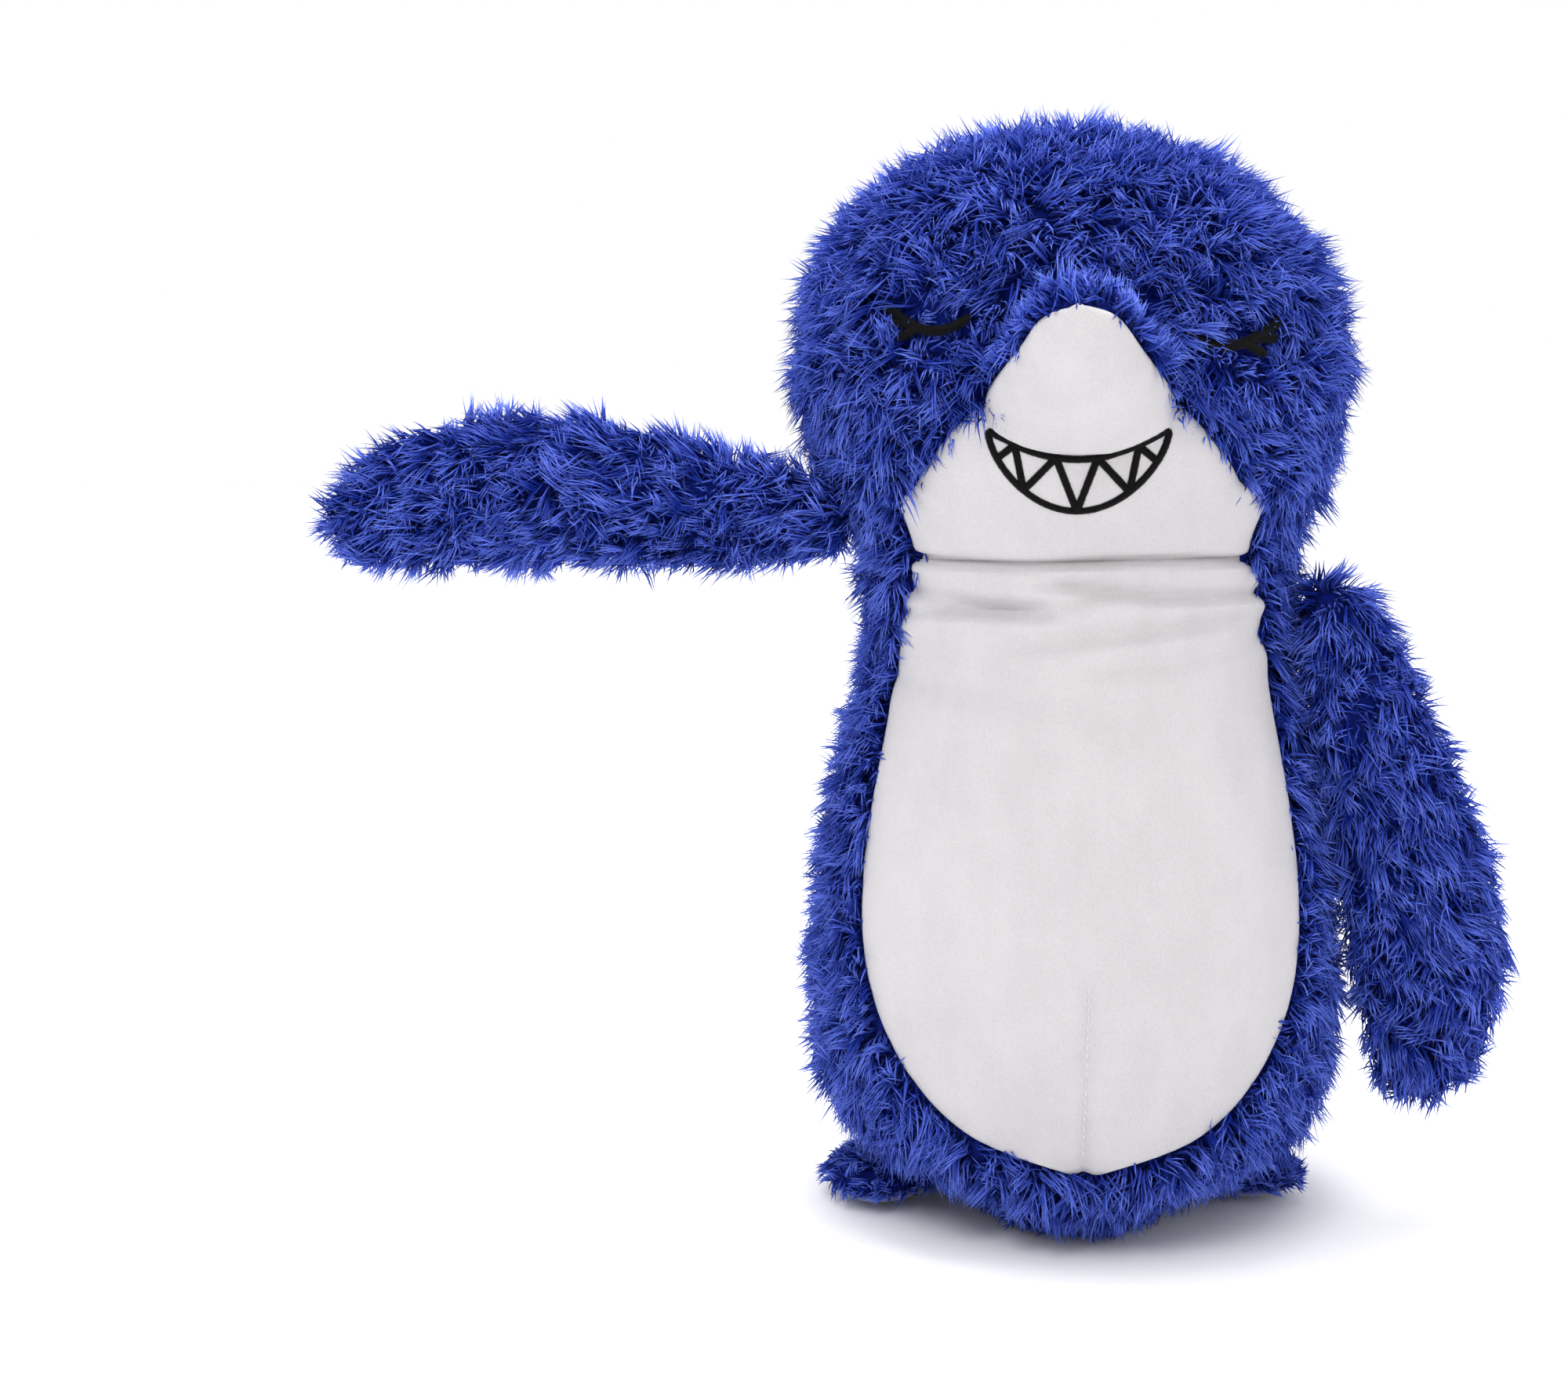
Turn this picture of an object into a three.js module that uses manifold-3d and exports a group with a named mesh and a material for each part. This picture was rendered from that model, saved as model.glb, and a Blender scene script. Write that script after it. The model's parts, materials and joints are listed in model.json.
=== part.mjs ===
// A plush shark that stands upright on its flat base with its head up and its tail end down.
// Every sewn panel, every lump of stuffing and every line of thread is a mesh of its own.
// Millimetres, +Z up. The shark faces -Y, and +X is at the right of someone who faces it.
// The origin is the centre of the base's flat underside.

import * as THREE from 'three';
import { mergeVertices } from 'three/addons/utils/BufferGeometryUtils.js';
import Module from 'manifold-3d';

const wasm = await Module();
wasm.setup();

// ---------------------------------------------------------------- driving dimensions

const NECK_HEIGHT = 236;        // floor to the neck seam
const HEAD_HEIGHT = 139;        // neck seam to the crown, under the pile
const BODY_HALF_WIDTH = 88;     // body at its widest, under the pile
const BODY_FRONT = 81;          // belly's bulge ahead of the centre
const BODY_BACK = 79;
const HEAD_HALF_WIDTH = 90;
const HEAD_FRONT = 81;
const HEAD_BACK = 84;
const NECK_HALF_WIDTH = 71;
const NECK_HALF_DEPTH = 57;
const HEAD_TURN = 4;            // degrees that the face looks towards the raised arm
const HEAD_LEAN = 9;            // the crown slumps this far towards the raised arm
const BASE_HALF_WIDTH = 34;
const BASE_HALF_DEPTH = 46;

const FUR_THICKNESS = 3.5;      // backing cloth and the packed roots of the pile
const MINKY_THICKNESS = 2.5;    // short white velour
const THREAD_THICKNESS = 0.9;
const SEAM_GAP = 0.3;           // between any two panels or fillings
const BASE_THICKNESS = 3;
const HEM_LIFT = 1;             // fur panels stop this far above the floor
const POUCH_TOP = 30;

const NECK_BODY_THICKNESS = 5;  // slice between the turning seam and the nodding line
const NOD_LINE_FORWARD = 15;    // the nodding line lies this far ahead of the centre
const NOD_FORWARD_ROOM = 8;     // degrees of open wedge at the throat
const NOD_BACKWARD_ROOM = 10;   // degrees of open wedge at the nape

const SNOUT_LENGTH = 81;
const SNOUT_HALF_WIDTH = 37;
const SNOUT_BELOW_SEAM = 14;
const SNOUT_ABOVE_SEAM = 40;
const SNOUT_ROOT_FORWARD = 52;
const SNOUT_ROOT_ABOVE_NECK = 37;
const SNOUT_LIFT = 28;          // degrees that the snout and its seam rise towards the tip
const FACE_TOP_ABOVE_NECK = 51; // the jaw panel ends here, hidden by the snout

const BELLY_HALF_WIDTH = 75;
const BELLY_BOTTOM = 34;
const WHITE_AT_NECK = 67;       // half width of both white panels at the neck seam
const BELLY_WAIST = 61;         // half width at the folds under the neck
const FACE_CHEEK = 55;          // half width of the jaw panel beside the mouth
const FACE_CORNER = 32;         // half width where the jaw panel meets the snout

const MOUTH_HALF_WIDTH = 28.8;
const MOUTH_CORNER_ABOVE_NECK = 44.5;
const MOUTH_SAG = 9.5;
const MOUTH_DEPTH = 19;
const THREAD_WIDTH = 2.4;
const LEFT_EYE_OUT = 39;        // middle of each eye from the face's centre line
const RIGHT_EYE_OUT = 48;
const EYE_HALF_WIDTH = 11;
const EYE_SAG = 6;
const LEFT_EYE_ABOVE_NECK = 78;
const RIGHT_EYE_ABOVE_NECK = 72.5;
const LASH_LENGTH = 7;
const DART_TOP = 106;
const CLOSURE_BOTTOM = 58;

const FLIPPER_LENGTH = 170;
const FLIPPER_HALF_WIDTH = 21.5;
const FLIPPER_HALF_THICKNESS = 13;
const FLIPPER_INNER_EDGE = 0.38; // share of the half width that lies inside the root's line
const FLIPPER_ROOT_EDGE = 0.2;  // the same at the root, where the inner edge draws in
const RAISED_SHOULDER_ABOVE_NECK = 10;
const HANGING_SHOULDER_BELOW_NECK = 22;
const SHOULDER_REACH = 10;      // a shoulder keeps clear of the form this far above and below it
const SHOULDER_CLEARANCE = 7;   // beside a raised flipper's shoulder
const HANGING_CLEARANCE = 1.5;  // between a hanging flipper and the body
const SHOULDER_FORWARD = 20;
const RAISED_ANGLE = 89.5;      // from hanging straight down

const FLUKE_LENGTH = 35;
const FLUKE_HALF_WIDTH = 24;
const FLUKE_HALF_THICKNESS = 4.6;
const FLUKE_CLEARANCE = 1;
const FLUKE_ROOT_RADIUS = 5;
const FLUKE_ROOT_FORWARD = 8;
const LEFT_FLUKE_SWEEP = -8;    // degrees towards the back
const RIGHT_FLUKE_SWEEP = 45;

const FIN_HEIGHT = 64;
const FIN_HALF_CHORD = 36;
const FIN_HALF_THICKNESS = 8;
const FIN_ROOT_LOW = 96;        // height of the root's lower end
const FIN_LEAN = 8;             // degrees that the root line follows the back
const FIN_CLEARANCE = 1.5;

const LABEL_WIDTH = 20;
const LABEL_LENGTH = 22;
const LABEL_THICKNESS = 0.8;
const LABEL_HEIGHT = 40;

const FIN_SIDES = 12;           // facets around a fin
const FAR = 400;                // reach of a cutting tool

// ---------------------------------------------------------------- materials

const FUR = { color: 0x2a3f9c, roughness: 0.95, metalness: 0 };
const FUR_DARK = { color: 0x1b2a78, roughness: 0.95, metalness: 0 };
const MINKY = { color: 0xe4e1e6, roughness: 0.9, metalness: 0 };
const THREAD = { color: 0x0b0a0c, roughness: 0.55, metalness: 0 };
const BLUE_THREAD = { color: 0x24378c, roughness: 0.6, metalness: 0 };
const WHITE_THREAD = { color: 0xcfccd4, roughness: 0.7, metalness: 0 };
const FILLING = { color: 0xf2f2f0, roughness: 1, metalness: 0 };
const POUCH_CLOTH = { color: 0xd8d4c8, roughness: 0.9, metalness: 0 };
const BASE_CLOTH = { color: 0x22347f, roughness: 0.95, metalness: 0 };
const RIBBON = { color: 0xf0f0f0, roughness: 0.6, metalness: 0 };

const shark = new THREE.Group();
const head = new THREE.Group();
head.rotation.z = -THREE.MathUtils.degToRad(HEAD_TURN);
shark.add(head);

// ---------------------------------------------------------------- solids

function toSolid(geometry) {
  const bare = geometry.clone();
  bare.deleteAttribute('normal');
  bare.deleteAttribute('uv');
  const welded = mergeVertices(bare, 1e-4);
  return new wasm.Manifold(new wasm.Mesh({
    numProp: 3,
    vertProperties: new Float32Array(welded.attributes.position.array),
    triVerts: new Uint32Array(welded.index.array),
  }));
}

function toGeometry(solid) {
  const mesh = solid.getMesh();
  const geometry = new THREE.BufferGeometry();
  geometry.setAttribute('position', new THREE.BufferAttribute(mesh.vertProperties, 3));
  geometry.setIndex(new THREE.BufferAttribute(mesh.triVerts, 1));
  geometry.computeVertexNormals();
  return geometry;
}

function addPiece(name, solid, look, group = shark) {
  const mesh = new THREE.Mesh(toGeometry(solid), new THREE.MeshStandardMaterial(look));
  mesh.name = name;
  group.add(mesh);
  return mesh;
}

function box(low, high) {
  const size = high.map((value, i) => value - low[i]);
  const middle = high.map((value, i) => (value + low[i]) / 2);
  return toSolid(new THREE.BoxGeometry(...size).translate(...middle));
}

function between(lowZ, highZ) {
  return box([-FAR, -FAR, lowZ], [FAR, FAR, highZ]);
}

// One side of the centre plane, short of it by half a seam gap.
function half(side) {
  return side < 0
    ? box([-FAR, -FAR, -FAR], [-SEAM_GAP / 2, FAR, FAR])
    : box([SEAM_GAP / 2, -FAR, -FAR], [FAR, FAR, FAR]);
}

// A stuffed form: a sphere whose rings take the sizes of the rows, from bottom to top.
// A row is [height, half width, front, back, shift along X]. The first and the last row are poles.
// grow moves the surface out along its own slope, as cloth on the form does.
function stuffedForm(rows, grow = 0, around = 24) {
  const curve = (pick) => new THREE.CatmullRomCurve3(rows.map(pick), false, 'catmullrom', 0.5);
  const sizes = curve(([, width, front, back]) => new THREE.Vector3(width, front, back));
  const places = curve(([height, , , , shift = 0]) => new THREE.Vector3(height, shift, 0));
  const rings = rows.length - 1;
  const radiusAt = (t) => {
    const size = sizes.getPoint(t);
    return size.x / 2 + (size.y + size.z) / 4;
  };
  const geometry = new THREE.SphereGeometry(1, around, rings);
  const position = geometry.attributes.position;
  const step = 0.25 / rings;
  for (let i = 0; i < position.count; i += 1) {
    const ring = Math.floor(i / (around + 1));
    const t = 1 - ring / rings;
    const low = Math.max(t - step, 0);
    const high = Math.min(t + step, 1);
    const slope = new THREE.Vector2(
      places.getPoint(high).x - places.getPoint(low).x,
      radiusAt(low) - radiusAt(high),
    ).normalize();
    const pole = ring === 0 || ring === rings;
    const outward = pole ? 0 : grow * slope.x;
    const upward = pole ? grow * Math.sign(t - 0.5) : grow * slope.y;
    const size = sizes.getPoint(t);
    const place = places.getPoint(t);
    const angle = (i % (around + 1)) / around * 2 * Math.PI;
    const across = -Math.cos(angle);
    const depth = -Math.sin(angle);
    const width = pole ? 0 : Math.max(size.x + outward, 0.05);
    const reach = pole ? 0 : Math.max((depth < 0 ? size.y : size.z) + outward, 0.05);
    position.setXYZ(i, place.y + across * width, depth * reach, place.x + upward);
  }
  return toSolid(geometry);
}

// A flat outline in the X-Z plane, made a block that runs from one Y to another.
function blockFrom(shape, frontY, backY, curveSegments = 10) {
  const geometry = new THREE.ExtrudeGeometry(shape, {
    depth: backY - frontY,
    bevelEnabled: false,
    curveSegments,
  });
  geometry.rotateX(Math.PI / 2);
  geometry.translate(0, backY, 0);
  return toSolid(geometry);
}

// A band of stitching of an even width along a smooth line of [x, z] points.
function stitchBand(points, width, frontY, backY, stepsPerSpan = 4) {
  const line = new THREE.SplineCurve(points.map(([x, z]) => new THREE.Vector2(x, z)));
  const steps = (points.length - 1) * stepsPerSpan;
  const left = [];
  const right = [];
  for (let i = 0; i <= steps; i += 1) {
    const t = i / steps;
    const at = line.getPoint(t);
    const along = line.getTangent(t);
    const side = new THREE.Vector2(-along.y, along.x).multiplyScalar(width / 2);
    left.push(at.clone().add(side));
    right.unshift(at.clone().sub(side));
  }
  return blockFrom(new THREE.Shape([...left, ...right]), frontY, backY);
}

function joined(solids) {
  return solids.reduce((all, solid) => all.add(solid));
}

// ---------------------------------------------------------------- the body's and head's forms

const torsoTop = NECK_HEIGHT - NECK_BODY_THICKNESS + 2;
const nodHeight = torsoTop + NECK_BODY_THICKNESS;
const flukeRoom = 2 * (FLUKE_HALF_THICKNESS + FUR_THICKNESS) + FLUKE_CLEARANCE;

function torsoRows() {
  const w = BODY_HALF_WIDTH;
  const f = BODY_FRONT;
  const b = BODY_BACK;
  const h = NECK_HEIGHT;
  return [
    [-12, 0, 0, 0],
    [-12, BASE_HALF_WIDTH * 0.8, BASE_HALF_DEPTH * 0.8, BASE_HALF_DEPTH * 0.8],
    [0, BASE_HALF_WIDTH, BASE_HALF_DEPTH, BASE_HALF_DEPTH],
    [flukeRoom / 2, BASE_HALF_WIDTH + 1, f * 0.68, b * 0.68],
    [flukeRoom + 2, BASE_HALF_WIDTH + 4, f * 0.77, b * 0.77],
    [flukeRoom + FUR_THICKNESS + 4, w * 0.72, f * 0.82, b * 0.82],
    [flukeRoom + FUR_THICKNESS + 13, w * 0.88, f * 0.88, b * 0.89],
    [h * 0.22, w * 0.97, f * 0.96, b * 0.96],
    [h * 0.36, w, f, b],
    [h * 0.51, w * 0.965, f * 0.985, b * 0.975],
    [h * 0.68, w * 0.885, f * 0.91, b * 0.9],
    [h * 0.85, w * 0.78, f * 0.79, b * 0.8],
    [h * 0.955, NECK_HALF_WIDTH + 1, NECK_HALF_DEPTH + 2, NECK_HALF_DEPTH + 2],
    [h, NECK_HALF_WIDTH, NECK_HALF_DEPTH, NECK_HALF_DEPTH],
    [h + 14, NECK_HALF_WIDTH, NECK_HALF_DEPTH, NECK_HALF_DEPTH],
    [h + 14, 0, 0, 0],
  ];
}

function headRows() {
  const w = HEAD_HALF_WIDTH;
  const f = HEAD_FRONT;
  const b = HEAD_BACK;
  const row = (share, width, front, back) => [
    NECK_HEIGHT + HEAD_HEIGHT * share, width, front, back, -HEAD_LEAN * share,
  ];
  return [
    [NECK_HEIGHT - 14, 0, 0, 0],
    [NECK_HEIGHT - 14, NECK_HALF_WIDTH, NECK_HALF_DEPTH, NECK_HALF_DEPTH],
    row(0, NECK_HALF_WIDTH, NECK_HALF_DEPTH, NECK_HALF_DEPTH),
    row(0.1, w * 0.83, f * 0.84, b * 0.8),
    row(0.27, w * 0.96, f * 0.96, b * 0.94),
    row(0.45, w, f, b),
    row(0.63, w * 0.955, f * 0.96, b * 0.965),
    row(0.77, w * 0.84, f * 0.83, b * 0.83),
    row(0.88, w * 0.65, f * 0.65, b * 0.65),
    row(0.96, w * 0.4, f * 0.4, b * 0.4),
    row(1, 0, 0, 0),
  ];
}

const torsoForm = (grow = 0) => stuffedForm(torsoRows(), grow);
const headForm = (grow = 0) => stuffedForm(headRows(), grow);

// The most that one size of a form's rows comes to between two heights. rise adds to the size for
// each millimetre of height above the lower one.
function most(rows, column, lowZ, highZ, rise = 0) {
  const points = rows.map((row) => new THREE.Vector3(row[0], row[column], 0));
  const line = new THREE.CatmullRomCurve3(points, false, 'catmullrom', 0.5);
  const inside = line.getPoints(40 * rows.length).filter(({ x }) => x >= lowZ && x <= highZ);
  return Math.max(...inside.map(({ x, y }) => y + (x - lowZ) * rise));
}

// The room the head may fill: above the neck, with a wedge left open ahead and behind for nodding.
function aboveNeck() {
  const floor = nodHeight + SEAM_GAP;
  const rise = (degrees) => FAR * Math.tan(THREE.MathUtils.degToRad(degrees));
  const side = new THREE.Shape([
    new THREE.Vector2(NOD_LINE_FORWARD, floor),
    new THREE.Vector2(NOD_LINE_FORWARD + FAR, floor + rise(NOD_FORWARD_ROOM)),
    new THREE.Vector2(NOD_LINE_FORWARD + FAR, floor + 2 * FAR),
    new THREE.Vector2(NOD_LINE_FORWARD - FAR, floor + 2 * FAR),
    new THREE.Vector2(NOD_LINE_FORWARD - FAR, floor + rise(NOD_BACKWARD_ROOM)),
  ]);
  const geometry = new THREE.ExtrudeGeometry(side, { depth: 2 * FAR, bevelEnabled: false });
  geometry.translate(0, 0, -FAR);
  geometry.rotateX(Math.PI / 2);
  geometry.rotateZ(-Math.PI / 2);
  return toSolid(geometry);
}

// ---------------------------------------------------------------- cutting outlines of the white panels

// Both white panels are cut by outlines that are mirrored about the centre line.
function mirroredOutline(points) {
  const right = new THREE.SplineCurve(points.map(([x, z]) => new THREE.Vector2(x, z))).getPoints(18);
  const left = right.map((point) => new THREE.Vector2(-point.x, point.y)).reverse();
  return new THREE.Shape([...right, ...left.slice(right[right.length - 1].x < 0.01 ? 1 : 0)]);
}

function bellyCutter(grow = 0) {
  const low = BELLY_BOTTOM;
  const tall = NECK_HEIGHT - low;
  return blockFrom(mirroredOutline([
    [WHITE_AT_NECK + grow, NECK_HEIGHT + 20],
    [WHITE_AT_NECK + grow, NECK_HEIGHT],
    [BELLY_WAIST + grow, NECK_HEIGHT - 13],
    [BELLY_HALF_WIDTH * 0.87 + grow, low + tall * 0.78],
    [BELLY_HALF_WIDTH + grow, low + tall * 0.48],
    [BELLY_HALF_WIDTH * 0.96 + grow, low + tall * 0.28],
    [BELLY_HALF_WIDTH * 0.76 + grow, low + tall * 0.13 - grow / 2],
    [BELLY_HALF_WIDTH * 0.4 + grow / 2, low + tall * 0.025 - grow],
    [0, low - grow],
  ]), -FAR, -4);
}

function faceCutter(grow = 0) {
  const top = NECK_HEIGHT + FACE_TOP_ABOVE_NECK;
  return blockFrom(mirroredOutline([
    [WHITE_AT_NECK + grow, NECK_HEIGHT - 20],
    [WHITE_AT_NECK + grow, NECK_HEIGHT],
    [FACE_CHEEK + grow, NECK_HEIGHT + 20],
    [FACE_CORNER + 12 + grow, NECK_HEIGHT + 37],
    [FACE_CORNER - 3 + grow, top + grow],
  ]), -FAR, -4);
}

// ---------------------------------------------------------------- body

function makeTorso() {
  const form = torsoForm();
  const cloth = between(HEM_LIFT, torsoTop);
  const fur = torsoForm(FUR_THICKNESS).subtract(form).intersect(cloth).subtract(bellyCutter(SEAM_GAP));
  addPiece('torso_left_fur_panel', fur.intersect(half(-1)), FUR);
  addPiece('torso_right_fur_panel', fur.intersect(half(1)), FUR);
  const belly = torsoForm(MINKY_THICKNESS).subtract(form).intersect(cloth).intersect(bellyCutter());
  addPiece('belly_panel', belly, MINKY);
  const inside = torsoForm(-SEAM_GAP);
  addPiece('base_panel', inside.intersect(between(0, BASE_THICKNESS)), BASE_CLOTH);
  addPiece('pellet_pouch', inside.intersect(between(BASE_THICKNESS + SEAM_GAP, POUCH_TOP)), POUCH_CLOTH);
  addPiece('torso_stuffing', inside.intersect(between(POUCH_TOP + SEAM_GAP, torsoTop)), FILLING);
}

function makeTorsoStitches() {
  const overMinky = MINKY_THICKNESS + SEAM_GAP;
  const dartLayer = torsoForm(overMinky + THREAD_THICKNESS / 2).subtract(torsoForm(overMinky));
  const dart = stitchBand([[2, DART_TOP], [1, DART_TOP * 0.65], [0, BELLY_BOTTOM + 1]], 1, -FAR, -4);
  addPiece('belly_dart_stitching', dartLayer.intersect(dart), WHITE_THREAD);
  const overFur = FUR_THICKNESS + SEAM_GAP;
  const closureLayer = torsoForm(overFur + THREAD_THICKNESS).subtract(torsoForm(overFur));
  const closure = box([-0.8, 4, CLOSURE_BOTTOM], [0.8, FAR, FIN_ROOT_LOW - 6]);
  addPiece('back_closure_stitching', closureLayer.intersect(closure), BLUE_THREAD);
  const label = box(
    [-LABEL_THICKNESS / 2, 4, LABEL_HEIGHT - LABEL_WIDTH / 2],
    [LABEL_THICKNESS / 2, BODY_BACK + LABEL_LENGTH, LABEL_HEIGHT + LABEL_WIDTH / 2],
  );
  addPiece('care_label', label.subtract(torsoForm(overFur)), RIBBON);
}

function makeNeck() {
  const slice = between(torsoTop + SEAM_GAP, nodHeight);
  const form = torsoForm();
  addPiece('neck_stuffing', torsoForm(-SEAM_GAP).intersect(slice), FILLING);
  addPiece('neck_seam_band', torsoForm(MINKY_THICKNESS).subtract(form).intersect(slice), MINKY);
}

// ---------------------------------------------------------------- head

function makeHead() {
  const room = aboveNeck();
  const form = headForm();
  const fur = headForm(FUR_THICKNESS).subtract(form).intersect(room).subtract(faceCutter(SEAM_GAP));
  addPiece('head_left_fur_panel', fur.intersect(half(-1)), FUR, head);
  addPiece('head_right_fur_panel', fur.intersect(half(1)), FUR, head);
  const face = headForm(MINKY_THICKNESS).subtract(form).intersect(room).intersect(faceCutter());
  addPiece('face_panel', face, MINKY, head);
  addPiece('head_stuffing', headForm(-SEAM_GAP).intersect(room), FILLING, head);
}

// The snout is an upturned wedge. Its white underside is broad and shallow, and its fur top is taller
// and narrows upwards. They meet on the plane of its axis.
function laidForward(geometry) {
  geometry.rotateX(THREE.MathUtils.degToRad(90 - SNOUT_LIFT));
  geometry.translate(0, -SNOUT_ROOT_FORWARD, NECK_HEIGHT + SNOUT_ROOT_ABOVE_NECK);
  return toSolid(geometry);
}

function snoutForm(grow = 0) {
  const w = SNOUT_HALF_WIDTH;
  const low = SNOUT_BELOW_SEAM;
  const high = SNOUT_ABOVE_SEAM;
  const l = SNOUT_LENGTH;
  return laidForward(toGeometry(stuffedForm([
    [-6, 0, 0, 0],
    [-6, w, low, high],
    [0, w, low, high],
    [l * 0.33, w * 0.79, low * 0.9, high * 0.73],
    [l * 0.53, w * 0.61, low * 0.84, high * 0.53],
    [l * 0.72, w * 0.43, low * 0.73, high * 0.37],
    [l * 0.87, w * 0.31, low * 0.56, high * 0.24],
    [l * 0.96, w * 0.18, low * 0.34, high * 0.14],
    [l, 0, 0, 0],
  ], grow, 20)));
}

function belowSnoutSeam(offset) {
  const geometry = new THREE.BoxGeometry(2 * FAR, FAR, 2 * FAR);
  return laidForward(geometry.translate(0, offset - FAR / 2, 0));
}

function makeSnout() {
  const behind = headForm(FUR_THICKNESS + SEAM_GAP);
  const form = snoutForm();
  const white = snoutForm(MINKY_THICKNESS).subtract(form).subtract(behind);
  addPiece('snout_underside', white.intersect(belowSnoutSeam(-SEAM_GAP / 2)), MINKY, head);
  const fur = snoutForm(FUR_THICKNESS).subtract(form).subtract(behind);
  addPiece('snout_fur_top', fur.subtract(belowSnoutSeam(SEAM_GAP / 2)), FUR, head);
  addPiece('snout_stuffing', snoutForm(-SEAM_GAP).subtract(behind), FILLING, head);
}

function makeMouth() {
  const over = MINKY_THICKNESS + SEAM_GAP;
  const layer = headForm(over + THREAD_THICKNESS).subtract(headForm(over));
  const w = MOUTH_HALF_WIDTH;
  const corner = NECK_HEIGHT + MOUTH_CORNER_ABOVE_NECK;
  const upper = (x) => corner - MOUTH_SAG * (1 - (x / w) ** 2);
  const lower = (x) => corner - MOUTH_SAG - MOUTH_DEPTH * Math.sqrt(Math.max(1 - (x / w) ** 2, 0))
    + MOUTH_SAG * (x / w) ** 2;
  const arc = (height, shares) => shares.map((share) => [share * w, height(share * w)]);
  const strokes = [
    arc(upper, [-1, -0.66, -0.33, 0, 0.33, 0.66, 1]),
    arc(lower, [-1, -0.93, -0.76, -0.5, -0.25, 0, 0.25, 0.5, 0.76, 0.93, 1]),
  ];
  const gums = [-0.7, -0.24, 0.22, 0.67];
  const tips = [-0.9, -0.6, 0, 0.58, 0.88];
  gums.forEach((gum, i) => {
    strokes.push([[gum * w, upper(gum * w)], [tips[i] * w, lower(tips[i] * w)]]);
    strokes.push([[gum * w, upper(gum * w)], [tips[i + 1] * w, lower(tips[i + 1] * w)]]);
  });
  const bands = strokes.map((points) => stitchBand(points, THREAD_WIDTH, -FAR, -4, points.length > 2 ? 2 : 1));
  const thread = layer.intersect(joined(bands)).subtract(snoutForm(FUR_THICKNESS + SEAM_GAP));
  addPiece('mouth_embroidery', thread, THREAD, head);
}

// A closed eye: a drooping arc with three short lashes at its outer end.
function makeEye(name, side, out, aboveNeckSeam) {
  const over = FUR_THICKNESS + SEAM_GAP;
  const layer = headForm(over + THREAD_THICKNESS).subtract(headForm(over));
  const middle = side * out;
  const level = NECK_HEIGHT + aboveNeckSeam;
  const arcPoint = (share) => [
    middle + side * share * EYE_HALF_WIDTH,
    level - EYE_SAG * (1 - share * share),
  ];
  const strokes = [[-1, -0.5, 0, 0.5, 1].map(arcPoint)];
  for (const [share, degrees] of [[1, 35], [0.8, 5], [0.55, -25]]) {
    const [x, z] = arcPoint(share);
    const turn = THREE.MathUtils.degToRad(degrees);
    strokes.push([[x, z], [x + side * LASH_LENGTH * Math.cos(turn), z + LASH_LENGTH * Math.sin(turn)]]);
  }
  const bands = strokes.map((points) => stitchBand(points, THREAD_WIDTH, -FAR, -4, points.length > 2 ? 2 : 1));
  addPiece(name, layer.intersect(joined(bands)), THREAD, head);
}

// ---------------------------------------------------------------- fins

// A sewn fin is two panels that meet on its edge, with stuffing between them.
// It runs from its root along one direction, and the first panel named lies on the low side of its
// thickness.
function makeFin({ names, looks, rows, root, along, thickness }) {
  const across = new THREE.Vector3().crossVectors(thickness, along);
  const group = new THREE.Group();
  group.position.copy(root);
  group.quaternion.setFromRotationMatrix(new THREE.Matrix4().makeBasis(across, thickness, along));
  shark.add(group);
  const shell = stuffedForm(rows, FUR_THICKNESS, FIN_SIDES).subtract(stuffedForm(rows, 0, FIN_SIDES));
  const lowSide = box([-FAR, -FAR, -FAR], [FAR, -SEAM_GAP / 2, FAR]);
  const highSide = box([-FAR, SEAM_GAP / 2, -FAR], [FAR, FAR, FAR]);
  addPiece(names[0], shell.intersect(lowSide), looks[0], group);
  addPiece(names[1], shell.intersect(highSide), looks[1], group);
  addPiece(names[2], stuffedForm(rows, -SEAM_GAP, FIN_SIDES), FILLING, group);
}

// The flipper is a paddle: its inner edge is straight and its outer edge bulges.
function makeFlipper(name, side, shoulder, degreesFromDown) {
  const l = FLIPPER_LENGTH;
  const w = FLIPPER_HALF_WIDTH;
  const t = FLIPPER_HALF_THICKNESS;
  const angle = THREE.MathUtils.degToRad(degreesFromDown);
  makeFin({
    names: [`${name}_front_panel`, `${name}_back_panel`, `${name}_stuffing`],
    looks: [FUR, FUR],
    rows: [
      [-9, 0, 0, 0],
      [-6, 0.28, 0.4, FLIPPER_ROOT_EDGE],
      [0, 0.36, 0.7, FLIPPER_ROOT_EDGE],
      [l * 0.16, 0.62, 0.92, FLIPPER_INNER_EDGE],
      [l * 0.33, 0.82, 1, FLIPPER_INNER_EDGE],
      [l * 0.51, 0.96, 1, FLIPPER_INNER_EDGE],
      [l * 0.68, 1, 0.94, FLIPPER_INNER_EDGE],
      [l * 0.85, 0.87, 0.74, FLIPPER_INNER_EDGE],
      [l * 0.955, 0.54, 0.46, FLIPPER_INNER_EDGE],
      [l, 0, 0, 0],
    ].map(([height, width, deep, inner]) => [
      height, w * width, t * deep, t * deep, -side * w * (width - inner),
    ]),
    root: new THREE.Vector3(side * shoulder.out, -SHOULDER_FORWARD, shoulder.height),
    along: new THREE.Vector3(side * Math.sin(angle), 0, -Math.cos(angle)),
    thickness: new THREE.Vector3(0, 1, 0),
  });
}

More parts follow.
